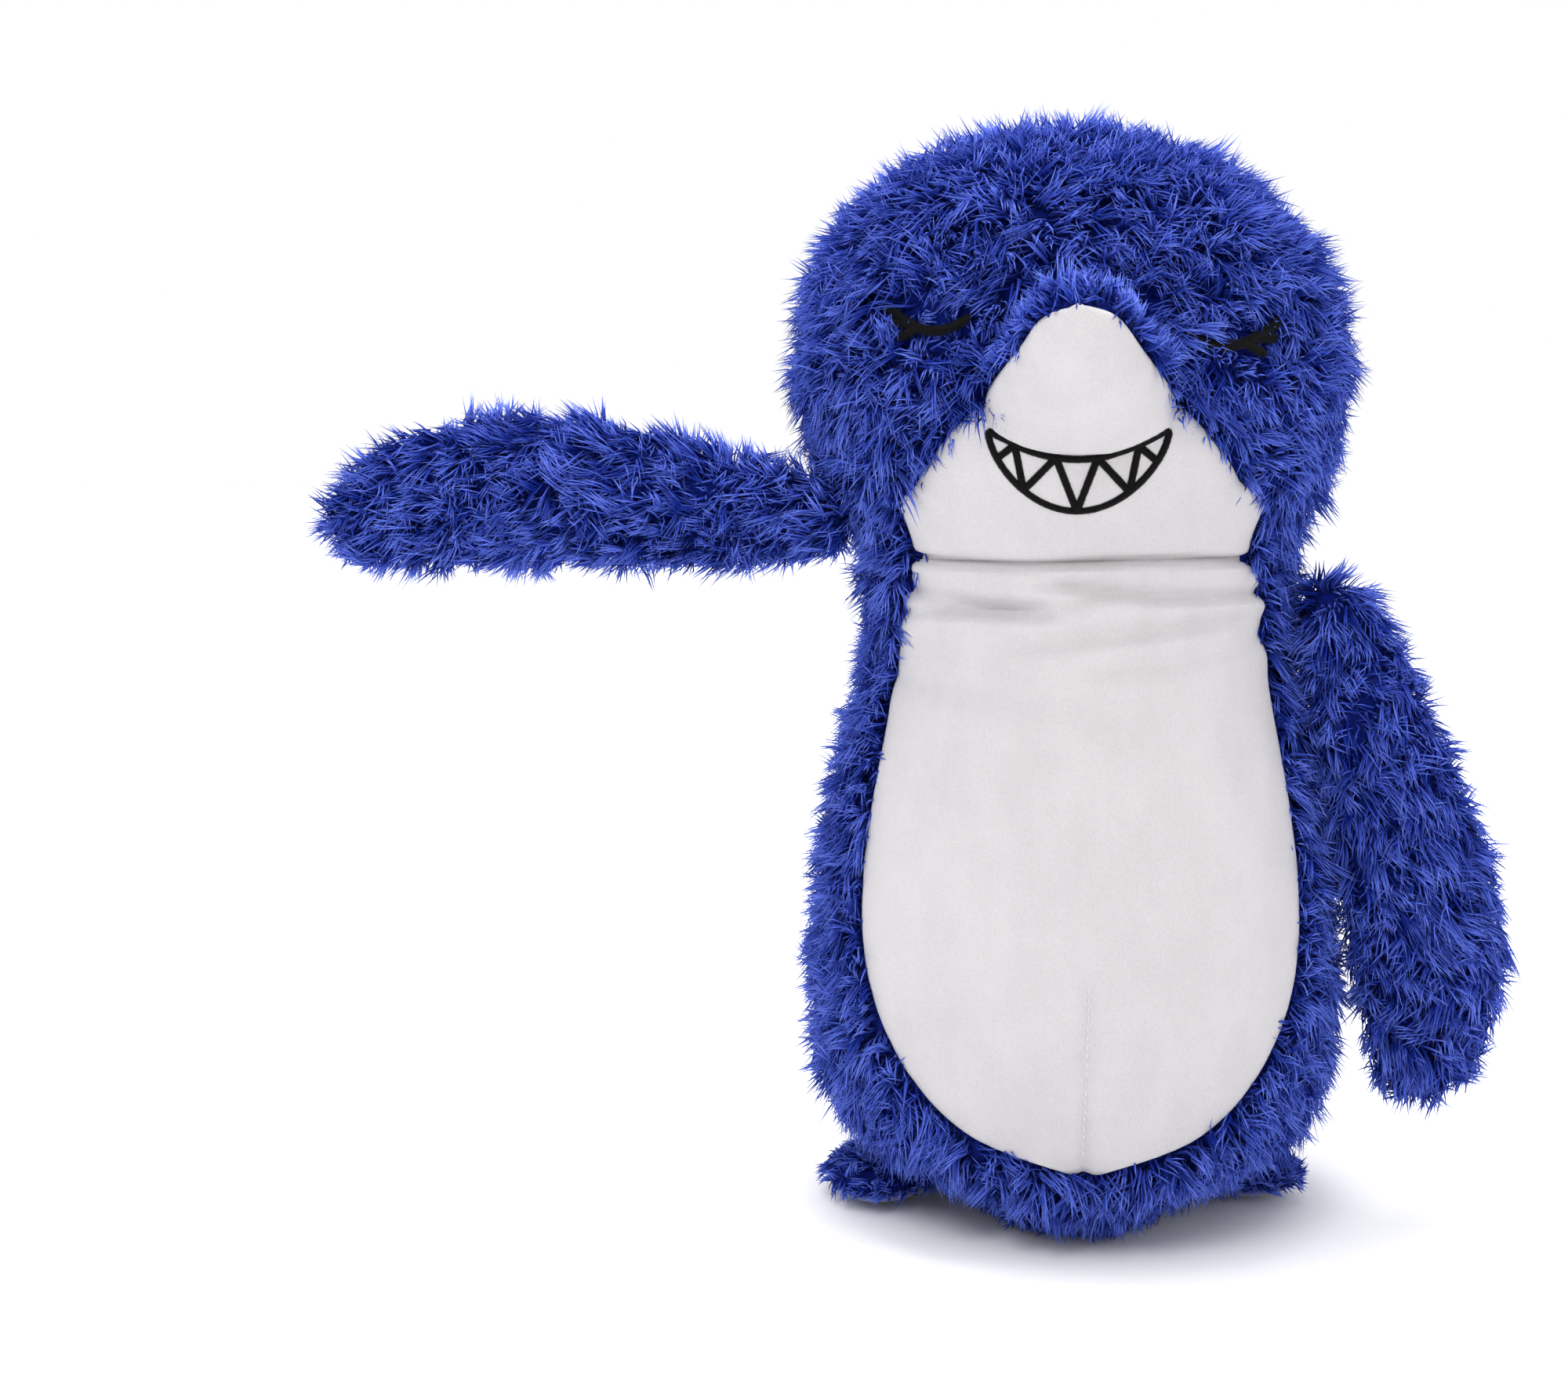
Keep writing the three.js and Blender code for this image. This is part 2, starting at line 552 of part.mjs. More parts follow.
// A raised flipper's shoulder clears the body and the head beside it.
function raisedShoulder() {
  const height = NECK_HEIGHT + RAISED_SHOULDER_ABOVE_NECK;
  const low = height - SHOULDER_REACH;
  const high = height + SHOULDER_REACH;
  const beside = Math.max(most(torsoRows(), 1, low, NECK_HEIGHT), most(headRows(), 1, NECK_HEIGHT, high));
  return { height, out: beside + 2 * FUR_THICKNESS + SHOULDER_CLEARANCE };
}

// A hanging flipper's shoulder clears the body by the flipper's own inner edge as well.
function hangingShoulder() {
  const height = NECK_HEIGHT - HANGING_SHOULDER_BELOW_NECK;
  const beside = most(torsoRows(), 1, height - SHOULDER_REACH, height + SHOULDER_REACH);
  const inner = FLIPPER_ROOT_EDGE * FLIPPER_HALF_WIDTH + FUR_THICKNESS;
  return { height, out: beside + FUR_THICKNESS + inner + HANGING_CLEARANCE };
}

// The angle at which a flipper hangs just clear of the body, from its shoulder down to its widest part.
function hangingAngle() {
  const { height, out } = hangingShoulder();
  const inner = FLIPPER_INNER_EDGE * FLIPPER_HALF_WIDTH + FUR_THICKNESS;
  const angles = [0.3, 0.4, 0.5, 0.6, 0.7].map((share) => {
    const level = share * NECK_HEIGHT;
    const body = most(torsoRows(), 1, level - SHOULDER_REACH, level + SHOULDER_REACH);
    return Math.atan2(body + FUR_THICKNESS + HANGING_CLEARANCE + inner - out, height - level);
  });
  return THREE.MathUtils.radToDeg(Math.max(...angles));
}

// A fluke lies flat on the floor beside the base and points away from it.
function makeFluke(name, side, sweep) {
  const l = FLUKE_LENGTH;
  const w = FLUKE_HALF_WIDTH;
  const t = FLUKE_HALF_THICKNESS;
  const r = FLUKE_ROOT_RADIUS;
  const angle = THREE.MathUtils.degToRad(sweep);
  const rootOut = BASE_HALF_WIDTH + 4 + 2 * FUR_THICKNESS + r + FLUKE_CLEARANCE;
  makeFin({
    names: [`${name}_bottom_panel`, `${name}_top_panel`, `${name}_stuffing`],
    looks: [BASE_CLOTH, FUR_DARK],
    rows: [
      [-r, 0, 0, 0],
      [-r * 0.7, r * 0.7, t * 0.6, t * 0.6],
      [0, r * 1.3, t * 0.85, t * 0.85],
      [l * 0.3, w * 0.8, t, t],
      [l * 0.6, w, t, t],
      [l * 0.86, w * 0.72, t * 0.85, t * 0.85],
      [l, 0, 0, 0],
    ],
    root: new THREE.Vector3(side * rootOut, -FLUKE_ROOT_FORWARD, t + FUR_THICKNESS),
    along: new THREE.Vector3(side * Math.cos(angle), Math.sin(angle), 0),
    thickness: new THREE.Vector3(0, 0, 1),
  });
}

// The dorsal fin stands out from the back. Its root follows the back's slope, and thins to the
// seam that it flops on.
function makeDorsalFin() {
  const h = FIN_HEIGHT;
  const c = FIN_HALF_CHORD;
  const t = FIN_HALF_THICKNESS;
  const lean = THREE.MathUtils.degToRad(FIN_LEAN);
  const rise = Math.tan(lean);
  const back = most(torsoRows(), 3, FIN_ROOT_LOW, FIN_ROOT_LOW + 2 * c, rise) - c * rise;
  const rootBack = back + 2 * FUR_THICKNESS + FIN_CLEARANCE;
  makeFin({
    names: ['dorsal_fin_left_panel', 'dorsal_fin_right_panel', 'dorsal_fin_stuffing'],
    looks: [FUR, FUR],
    rows: [
      [0, 0, 0, 0, 0],
      [1, c * 0.9, 1.5, 1.5, 0],
      [6, c, t * 0.6, t * 0.6, -1],
      [h * 0.25, c * 0.92, t, t, -4],
      [h * 0.5, c * 0.7, t * 0.95, t * 0.95, -10],
      [h * 0.75, c * 0.44, t * 0.75, t * 0.75, -18],
      [h * 0.93, c * 0.2, t * 0.45, t * 0.45, -25],
      [h, 0, 0, 0, -28],
    ],
    root: new THREE.Vector3(0, rootBack, FIN_ROOT_LOW + FIN_HALF_CHORD),
    along: new THREE.Vector3(0, Math.cos(lean), Math.sin(lean)),
    thickness: new THREE.Vector3(1, 0, 0),
  });
}

makeTorso();
makeTorsoStitches();
makeNeck();
makeHead();
makeSnout();
makeMouth();
makeEye('left_eye_embroidery', -1, LEFT_EYE_OUT, LEFT_EYE_ABOVE_NECK);
makeEye('right_eye_embroidery', 1, RIGHT_EYE_OUT, RIGHT_EYE_ABOVE_NECK);
makeFlipper('left_flipper', -1, raisedShoulder(), RAISED_ANGLE);
makeFlipper('right_flipper', 1, hangingShoulder(), hangingAngle());
makeFluke('left_fluke', -1, LEFT_FLUKE_SWEEP);
makeFluke('right_fluke', 1, RIGHT_FLUKE_SWEEP);
makeDorsalFin();

export default shark;
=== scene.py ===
"""A plush shark: shaggy blue fur over stuffed forms, white velour panels, and embroidered features.

Every form is measured from the frame's CAD nodes and softened, the body's form is also puffed by a cloth
simulation, and then each is dressed with panels, thread and pile.
"""

import json
import math
from functools import lru_cache

import bmesh
import bpy
import numpy as np
from bpy.props import FloatProperty, FloatVectorProperty, IntProperty, PointerProperty
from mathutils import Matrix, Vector, kdtree, noise
from mathutils.bvhtree import BVHTree

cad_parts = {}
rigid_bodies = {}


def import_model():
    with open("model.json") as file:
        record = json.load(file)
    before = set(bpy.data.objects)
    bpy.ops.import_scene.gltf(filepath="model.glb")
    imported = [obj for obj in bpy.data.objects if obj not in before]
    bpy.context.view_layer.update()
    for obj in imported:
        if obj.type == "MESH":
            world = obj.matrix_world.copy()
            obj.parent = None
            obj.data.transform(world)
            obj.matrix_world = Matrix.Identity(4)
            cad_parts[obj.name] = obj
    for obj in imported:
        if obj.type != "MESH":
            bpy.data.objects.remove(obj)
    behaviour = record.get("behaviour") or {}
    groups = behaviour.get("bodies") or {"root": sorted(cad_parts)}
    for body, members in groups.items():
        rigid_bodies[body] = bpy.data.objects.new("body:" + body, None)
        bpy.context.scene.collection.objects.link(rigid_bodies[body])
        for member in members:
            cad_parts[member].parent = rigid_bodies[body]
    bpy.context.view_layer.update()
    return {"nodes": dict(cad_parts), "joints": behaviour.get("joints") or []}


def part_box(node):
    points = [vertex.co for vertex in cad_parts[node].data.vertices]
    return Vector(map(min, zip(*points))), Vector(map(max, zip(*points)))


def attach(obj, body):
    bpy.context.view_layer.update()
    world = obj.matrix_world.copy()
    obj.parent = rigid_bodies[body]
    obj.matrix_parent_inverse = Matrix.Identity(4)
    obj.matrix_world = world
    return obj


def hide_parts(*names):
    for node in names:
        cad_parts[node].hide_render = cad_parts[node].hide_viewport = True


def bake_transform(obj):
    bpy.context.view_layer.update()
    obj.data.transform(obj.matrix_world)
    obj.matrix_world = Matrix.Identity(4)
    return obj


bl_info = {
    "name": "Plush Shark",
    "version": (1, 0, 0),
    "blender": (4, 5, 0),
    "location": "3D View > Sidebar > Plush Shark",
    "description": "Builds the fur, velour, stitching and fins of an upright plush shark",
    "category": "Object",
}

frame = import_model()
JOINTS = {joint["name"]: joint for joint in frame["joints"]}

MM = 0.001
UP = Vector((0, 0, 1))
REACH = 0.6  # rays start this far outside a form
FLOOR_CLEARANCE = 0.6 * MM

NOD = JOINTS["head_nod"]
NOD_AXIS = Vector(NOD["axis"]).normalized()
FACING = NOD_AXIS.cross(UP).normalized()  # where the face looks
NECK_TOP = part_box("torso_stuffing")[1].z
NOD_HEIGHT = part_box("neck_stuffing")[1].z
NECK_SEAM = (NECK_TOP + NOD_HEIGHT) / 2
WEDGE_TOP = NOD_HEIGHT + 16 * MM

TORSO_FUR = ("torso_left_fur_panel", "torso_right_fur_panel")
HEAD_FUR = ("head_left_fur_panel", "head_right_fur_panel")
WHITE = ("belly_panel", "face_panel")


# ---------------------------------------------------------------- settings


class PileSettings(bpy.types.PropertyGroup):
    """The blue fur."""

    length: FloatProperty(
        name="Length", description="Length of a lock of pile", default=12 * MM, unit="LENGTH"
    )
    radius: FloatProperty(
        name="Radius", description="Radius of a lock at its root", default=0.46 * MM, unit="LENGTH"
    )
    density: FloatProperty(
        name="Density", description="Locks on a square millimetre of cloth", default=0.47
    )
    tuft: FloatProperty(
        name="Tuft", description="Distance between gathered tufts", default=3.6 * MM, unit="LENGTH"
    )
    # The root colour is painted shade: the pile is darkened deep down, where little light reaches.
    root: FloatVectorProperty(
        name="Root", description="Colour deep in the pile", subtype="COLOR", default=(0.002, 0.008, 0.13)
    )
    middle: FloatVectorProperty(
        name="Middle", description="Colour half way up", subtype="COLOR", default=(0.008, 0.034, 0.39)
    )
    # The tip colour is the fur's own blue, lightened as a painted highlight on the ends of the locks.
    tip: FloatVectorProperty(
        name="Tip", description="Colour at the tips", subtype="COLOR", default=(0.12, 0.20, 0.87)
    )
    seed: IntProperty(name="Seed", description="Seed of every random draw", default=11)


class VelourSettings(bpy.types.PropertyGroup):
    """The white short-pile panels."""

    colour: FloatVectorProperty(
        name="Colour", description="Colour of the velour", subtype="COLOR", default=(0.555, 0.535, 0.55)
    )
    thickness: FloatProperty(
        name="Thickness", description="Thickness of the velour", default=2.4 * MM, unit="LENGTH"
    )
    pitch: FloatProperty(
        name="Pitch", description="Spacing of the panel's mesh", default=1.6 * MM, unit="LENGTH"
    )


class ThreadSettings(bpy.types.PropertyGroup):
    """Embroidery and sewing thread."""

    width: FloatProperty(
        name="Stroke", description="Width of a satin-stitched stroke", default=2.5 * MM, unit="LENGTH"
    )
    spacing: FloatProperty(
        name="Spacing", description="Distance between threads", default=0.36 * MM, unit="LENGTH"
    )
    radius: FloatProperty(
        name="Radius", description="Radius of one thread", default=0.24 * MM, unit="LENGTH"
    )
    black: FloatVectorProperty(
        name="Black", description="Colour of the embroidery", subtype="COLOR",
        default=(0.0015, 0.0015, 0.002),
    )


class StageSettings(bpy.types.PropertyGroup):
    """Floor, light and camera."""

    floor: FloatVectorProperty(
        name="Floor", description="Colour of the floor", subtype="COLOR", default=(0.93, 0.93, 0.935)
    )
    dim: FloatProperty(
        name="Dim", description="Brightness of the studio in front of the shark", default=0.55
    )
    lens: FloatProperty(name="Lens", description="Focal length in millimetres", default=45.0)
    heading: FloatProperty(
        name="Heading", description="Turn of the camera", subtype="ANGLE", default=math.radians(4.463)
    )
    dip: FloatProperty(
        name="Dip", description="How far the camera looks down", subtype="ANGLE", default=math.radians(6.6)
    )
    stand: FloatVectorProperty(
        name="Stand", description="Place of the camera", subtype="XYZ", unit="LENGTH",
        default=(-0.0495, -0.7083, 0.265),
    )


# ---------------------------------------------------------------- shader expressions


class Value:
    """A number that varies over a surface: the output socket of a node."""

    def __init__(self, finish, socket):
        self.finish = finish
        self.socket = socket

    def _math(self, operation, first, second):
        return self.finish.value("ShaderNodeMath", {"operation": operation}, {0: first, 1: second})

    def __add__(self, other):
        return self._math("ADD", self, other)

    def __sub__(self, other):
        return self._math("SUBTRACT", self, other)

    def __rsub__(self, other):
        return self._math("SUBTRACT", other, self)

    def __mul__(self, other):
        return self._math("MULTIPLY", self, other)

    def __truediv__(self, other):
        return self._math("DIVIDE", self, other)

    def __pow__(self, other):
        return self._math("POWER", self, other)

    __radd__ = __add__
    __rmul__ = __mul__

    def above(self, low, high):
        """0 under low, 1 over high, and smooth between them."""
        return self.finish.value(
            "ShaderNodeMapRange",
            {"interpolation_type": "SMOOTHSTEP"},
            {"Value": self, "From Min": low, "From Max": high},
        )


class Nodes:
    """A node tree, and the making of its nodes."""

    def __init__(self, owner):
        owner.use_nodes = True
        self.nodes = owner.node_tree.nodes
        self.links = owner.node_tree.links

    def node(self, kind, settings=None, inputs=None):
        made = self.nodes.new(kind)
        for key, value in (settings or {}).items():
            if key == "stops":
                self._set_stops(made.color_ramp, value)
            else:
                setattr(made, key, value)
        for key, value in (inputs or {}).items():
            self.feed(made.inputs[key], value)
        return made

    @staticmethod
    def _set_stops(ramp, stops):
        while len(ramp.elements) < len(stops):
            ramp.elements.new(0.5)
        for element, (place, colour) in zip(ramp.elements, stops):
            element.position = place
            element.color = (*colour, 1)

    def feed(self, socket, value):
        if isinstance(value, Value):
            self.links.new(value.socket, socket)
        elif isinstance(value, bpy.types.NodeSocket):
            self.links.new(value, socket)
        elif socket.type == "RGBA":
            socket.default_value = (*value, 1)
        else:
            socket.default_value = value

    def value(self, kind, settings=None, inputs=None, output=0):
        return Value(self, self.node(kind, settings, inputs).outputs[output])


class Finish(Nodes):
    """A material on one Principled shader."""

    def __init__(self, name, **constants):
        self.material = bpy.data.materials.new(name)
        super().__init__(self.material)
        self.shader = self.nodes["Principled BSDF"]
        for socket, value in constants.items():
            self.shader.inputs[socket.replace("_", " ")].default_value = value

    def place(self):
        return self.node("ShaderNodeTexCoord").outputs["Object"]

    def noise(self, scale, detail=2.0, stretch=None):
        """Noise from 0 to 1 at a scale in waves per metre."""
        where = self.place()
        if stretch:
            where = self.node("ShaderNodeMapping", None, {"Vector": where, "Scale": stretch}).outputs[0]
        inputs = {"Vector": where, "Scale": scale, "Detail": detail}
        return self.value("ShaderNodeTexNoise", None, inputs)

    def attribute(self, name):
        return self.value("ShaderNodeAttribute", {"attribute_name": name}, None, "Fac")

    def mix(self, factor, first, second, blend_type="MIX"):
        """Colour between two colours."""
        made = self.node(
            "ShaderNodeMix",
            {"data_type": "RGBA", "blend_type": blend_type},
            {0: factor, 6: first, 7: second},
        )
        return made.outputs[2]

    def surface(self, colour, roughness=None, height=None, depth=MM):
        """Feeds the shader, and returns the material."""
        self.feed(self.shader.inputs["Base Color"], colour)
        if roughness is not None:
            self.feed(self.shader.inputs["Roughness"], roughness)
        if height is not None:
            bump = self.node("ShaderNodeBump", None, {"Height": height, "Distance": depth})
            self.links.new(bump.outputs[0], self.shader.inputs["Normal"])
        return self.material


@lru_cache(None)
def pile_finish():
    """Shaggy blue pile: painted shade darkens the root and some tufts, a painted highlight brightens the
    tip, and each tuft is a little different.
    """
    look = bpy.context.scene.shark_pile
    finish = Finish("blue_pile", Sheen_Weight=0.06, Sheen_Roughness=0.35, Specular_IOR_Level=0.07)
    finish.shader.inputs["Sheen Tint"].default_value = (0.2, 0.35, 1.0, 1)
    along = finish.attribute("along")
    tint = finish.attribute("tint")
    # Painted shade: the ramp starts from the dark root colour, and some tufts at random are darkened
    # towards it.
    ramp = finish.node(
        "ShaderNodeValToRGB",
        {"stops": [(0.0, look.root), (0.5, look.middle), (1.0, look.tip)]},
        {"Fac": along},
    )
    shaded = finish.mix(tint * 0.55, ramp.outputs[0], tuple(look.root))
    # Painted highlight: the tips are lightened towards pale blue, more on some tufts at random.
    colour = finish.mix((1 - tint) ** 2 * along * 0.6, shaded, (0.22, 0.31, 0.95))
    return finish.surface(colour, 0.5 + 0.25 * finish.noise(900))


@lru_cache(None)
def backing_finish():
    """The knitted cloth that the pile grows from, deep in shade."""
    look = bpy.context.scene.shark_pile
    finish = Finish("blue_backing", Specular_IOR_Level=0.1)
    knit = finish.noise(1400, 3)
    colour = finish.mix(knit, tuple(0.6 * c for c in look.root), tuple(1.3 * c for c in look.root))
    return finish.surface(colour, 0.9 + 0.08 * knit, knit, 0.4 * MM)


@lru_cache(None)
def base_finish():
    """Short blue velour under the base and the flukes."""
    finish = Finish("blue_velour", Sheen_Weight=0.5, Sheen_Roughness=0.5)
    nap = finish.noise(1100, 4)
    patch = finish.noise(60, 2)
    colour = finish.mix(0.6 * nap + 0.4 * patch, (0.010, 0.022, 0.14), (0.035, 0.07, 0.36))
    return finish.surface(colour, 0.85 + 0.1 * nap, nap, 0.5 * MM)


@lru_cache(None)
def velour_finish():
    """White velour: a fine nap that is brushed in soft patches."""
    look = bpy.context.scene.shark_velour
    finish = Finish("white_velour_nap", Sheen_Weight=0.25, Sheen_Roughness=0.6, Specular_IOR_Level=0.2)
    nap = finish.noise(1300, 4)
    brushed = finish.noise(70, 3, (1, 1, 0.6))
    grain = 0.55 * nap + 0.45 * brushed
    low = tuple(c * 0.87 for c in look.colour)
    colour = finish.mix(grain.above(0.25, 0.75), low, tuple(look.colour))
    return finish.surface(colour, 0.86 + 0.1 * nap, 0.7 * nap + 0.6 * brushed, 0.45 * MM)


@lru_cache(None)
def thread_finish(name, colour, shine=0.45):
    """Twisted thread, with fibres that catch the light."""
    finish = Finish(name, Specular_IOR_Level=0.12)
    fibre = finish.noise(2600, 2)
    mixed = finish.mix(fibre, tuple(0.75 * c for c in colour), tuple(min(1.0, 1.3 * c) for c in colour))
    return finish.surface(mixed, shine + 0.2 * fibre, fibre, 0.1 * MM)


@lru_cache(None)
def filling_finish():
    """Crimped polyester fibre."""
    finish = Finish("fibre_filling", Sheen_Weight=0.4)
    crimp = finish.noise(240, 5)
    colour = finish.mix(crimp, (0.66, 0.66, 0.65), (0.86, 0.86, 0.85))
    return finish.surface(colour, 0.9 + 0.1 * crimp, crimp, 2 * MM)


@lru_cache(None)
def ribbon_finish():
    """Woven satin ribbon, left blank."""
    finish = Finish("satin_ribbon", Sheen_Weight=0.2)
    weave = finish.noise(1500, 1, (1, 0.1, 1))
    colour = finish.mix(weave, (0.72, 0.72, 0.73), (0.86, 0.86, 0.86))
    return finish.surface(colour, 0.35 + 0.2 * weave, weave, 0.15 * MM)


# ---------------------------------------------------------------- forms


def soften(values, along_rows, around):
    """Gaussian smoothing of a rows-by-columns field whose columns close on themselves."""

    def kernel(spread):
        steps = np.arange(-int(3 * spread) - 1, int(3 * spread) + 2)
        weights = np.exp(-0.5 * (steps / spread) ** 2)
        return steps, weights / weights.sum()

    steps, weights = kernel(around)
    out = sum(w * np.roll(values, s, axis=1) for s, w in zip(steps, weights))
    steps, weights = kernel(along_rows)
    rows = np.arange(values.shape[0])
    return sum(w * out[np.clip(rows + s, 0, values.shape[0] - 1)] for s, w in zip(steps, weights))


def cubic_weights(f):
    """Catmull-Rom weights of four neighbours at a fraction f past the second one."""
    return (
        0.5 * (-f + 2 * f**2 - f**3),
        0.5 * (2 - 5 * f**2 + 3 * f**3),
        0.5 * (f + 4 * f**2 - 3 * f**3),
        0.5 * (f**3 - f**2),
    )


def unit(vectors):
    return vectors / np.maximum(np.linalg.norm(vectors, axis=-1, keepdims=True), 1e-12)


class CadSurface:
    """The outer surface of some CAD nodes."""

    def __init__(self, nodes):
        merged = bmesh.new()
        self.owners = []
        for node in nodes:
            merged.from_mesh(frame["nodes"][node].data)
            self.owners += [node] * (len(merged.faces) - len(self.owners))
        self.tree = BVHTree.FromBMesh(merged)
        merged.free()

    def hit(self, centre, direction):
        """Distance from the centre to the outermost point in a direction, and its node."""
        start = Vector(centre) + Vector(direction) * REACH
        _, _, index, distance = self.tree.ray_cast(start, -Vector(direction))
        if index is None or distance > REACH - MM:
            return math.nan, None
        return REACH - distance, self.owners[index]


class Form:
    """A stuffed form as a field of distances from a straight spine.

    t runs from one pole to the other in rows; the first and last end_rows fan around the spine's
    ends. a is the angle around the spine in degrees, from the front towards the side.
    """

    def __init__(self, surface, low, high, front, end_rows, rows, around, bridge=None, spread=(2.2, 2.2)):
        self.low = np.array(low, float)
        self.high = np.array(high, float)
        self.length = np.linalg.norm(self.high - self.low)
        self.axis = (self.high - self.low) / self.length
        flat = np.array(front, float)
        self.front = unit(flat - self.axis * flat.dot(self.axis))
        self.side = np.cross(self.axis, self.front)
        self.end_rows = end_rows
        self.rows = rows
        self.around = around
        self.last = 2 * end_rows + rows
        self.reach = self._measure(surface.hit, bridge)
        self.reach = soften(self.reach, *spread)
        self.reach[0] = self.reach[0].mean()
        self.reach[-1] = self.reach[-1].mean()

    def rays(self, t, degrees):
        """Centres and directions of the rays at rows t and angles in degrees."""
        t = np.asarray(t, float)
        a = np.radians(degrees)
        share = np.clip((t - self.end_rows) / self.rows, 0, 1)
        below = np.clip(1 - t / self.end_rows, 0, 1)
        above = np.clip((t - self.end_rows - self.rows) / self.end_rows, 0, 1)
        rise = (above - below) * math.pi / 2
        centres = self.low + share[..., None] * (self.high - self.low)
        flat = np.cos(a)[..., None] * self.front + np.sin(a)[..., None] * self.side
        return centres, np.sin(rise)[..., None] * self.axis + np.cos(rise)[..., None] * flat

    def _measure(self, hit, bridge=None):
        rows = np.arange(self.last + 1)
        angles = np.arange(self.around) * 360 / self.around
        centres, directions = self.rays(*np.meshgrid(rows, angles, indexing="ij"))
        found = np.array([
            [hit(c, d)[0] for c, d in zip(centre_row, direction_row)]
            for centre_row, direction_row in zip(centres, directions)
        ])
        beside = (np.roll(found, 1, axis=1) + np.roll(found, -1, axis=1)) / 2
        found = np.where(np.isnan(found), beside, found)
        if bridge:
            found[(rows > bridge[0]) & (rows < bridge[1])] = math.nan
        for column in found.T:
            good = ~np.isnan(column)
            if not good.any():
                raise RuntimeError("A form's ray found no CAD surface at any row.")
            column[~good] = np.interp(rows[~good], rows[good], column[good])
        return found

    def distance(self, t, degrees):
        """The smooth distance from the spine at rows t and angles in degrees."""
        t, degrees = np.broadcast_arrays(np.asarray(t, float), np.asarray(degrees, float))
        row = np.clip(t, 0, self.last)
        column = (degrees % 360) * self.around / 360
        row_low = np.minimum(np.floor(row).astype(int), self.last - 1)
        column_low = np.floor(column).astype(int)
        total = np.zeros(row.shape)
        for i, row_weight in enumerate(cubic_weights(row - row_low)):
            at_row = np.clip(row_low + i - 1, 0, self.last)
            for j, column_weight in enumerate(cubic_weights(column - column_low)):
                at_column = (column_low + j - 1) % self.around
                total += row_weight * column_weight * self.reach[at_row, at_column]
        return total

    def points(self, t, degrees, proud=0.0):
        """Points on the form, moved out along its normals."""
        t, degrees = np.broadcast_arrays(np.asarray(t, float), np.asarray(degrees, float))
        centres, directions = self.rays(t, degrees)
        found = centres + directions * self.distance(t, degrees)[..., None]
        if np.any(proud):
            found = found + self.normals(t, degrees) * np.asarray(proud)[..., None]
        return found

    def normals(self, t, degrees):
        row_step, turn_step = 0.3, 1.5
        inner = np.clip(t, 0.6, self.last - 0.6)
        along = self.points(inner + row_step, degrees) - self.points(inner - row_step, degrees)
        about = self.points(inner, degrees + turn_step) - self.points(inner, degrees - turn_step)
        return unit(np.cross(about, along))

    def row_at(self, point):
        """The row whose centre is level with a point between the spine's ends."""
        share = (np.asarray(point, float) - self.low) @ self.axis / self.length
        return self.end_rows + share * self.rows

    def holds(self, points, slack=0.0):
        """Which points lie inside the form, beside its spine."""
        offset = points - self.low
        share = offset @ self.axis / self.length
        a = np.degrees(np.arctan2(offset @ self.side, offset @ self.front))
        far = np.linalg.norm(offset - np.outer(offset @ self.axis, self.axis), axis=1)
        t = self.end_rows + share * self.rows
        return (share > -0.5) & (share < 1) & (far < self.distance(t, a) + slack)

    def closed_mesh(self, name, proud=0.0):
        """The whole form as one closed mesh."""
        panel = bmesh.new()
        t, a, _ = start_grid(panel, self.last, self.around)
        place(panel, self.points(t * self.last, a * 360, np.full(t.shape, proud)))
        bmesh.ops.remove_doubles(panel, verts=panel.verts, dist=0.02 * MM)
        return finish_mesh(panel, name)

    def puff(self, pressure, shrink, cap, voxel):
        """Inflates a shrunk copy of the form as cloth, and measures the form again from it."""
        blank = self.closed_mesh("puffing", -shrink)
        remesh = blank.modifiers.new("voxels", "REMESH")
        remesh.mode = "VOXEL"
        remesh.voxel_size = voxel
        apply_modifiers(blank)
        cloth = blank.modifiers.new("cloth", "CLOTH")
        cloth.settings.use_pressure = True
        cloth.settings.uniform_pressure_force = pressure
        cloth.settings.effector_weights.gravity = 0
        cloth.settings.tension_stiffness = 30
        cloth.settings.bending_stiffness = 2
        scene = bpy.context.scene
        for number in range(1, 21):
            scene.frame_set(number)
        apply_modifiers(blank)
        scene.frame_set(1)
        tree = BVHTree.FromObject(blank, bpy.context.evaluated_depsgraph_get())

        def hit(centre, direction):
            start = Vector(centre) + Vector(direction) * REACH
            distance = tree.ray_cast(start, -Vector(direction))[3]
            return (math.nan if distance is None else REACH - distance), None

        puffed = soften(self._measure(hit), 1.2, 1.2)
        puffed *= (self.reach.mean(axis=1) / puffed.mean(axis=1))[:, None]
        self.reach = np.clip(puffed, self.reach - cap, self.reach + cap)
        bpy.data.objects.remove(blank)


# ---------------------------------------------------------------- meshes


def start_grid(mesh, along, across, closed=False):
    """Fills a bmesh with a grid, or with a closed sheet of two layers.

    Returns each vertex's share along and across, from 0 to 1, and its layer, 0 or 1.
    """
    bmesh.ops.create_grid(mesh, x_segments=along, y_segments=across, size=1)
    if closed:
        made = bmesh.ops.extrude_face_region(mesh, geom=mesh.faces[:], use_keep_orig=True)
        inner = [g for g in made["geom"] if isinstance(g, bmesh.types.BMVert)]
        bmesh.ops.translate(mesh, verts=inner, vec=(0, 0, -1))
    flat = np.array([v.co for v in mesh.verts])
    return (flat[:, 0] + 1) / 2, (flat[:, 1] + 1) / 2, -flat[:, 2]


def place(mesh, points):
    for vertex, point in zip(mesh.verts, points):
        vertex.co = point


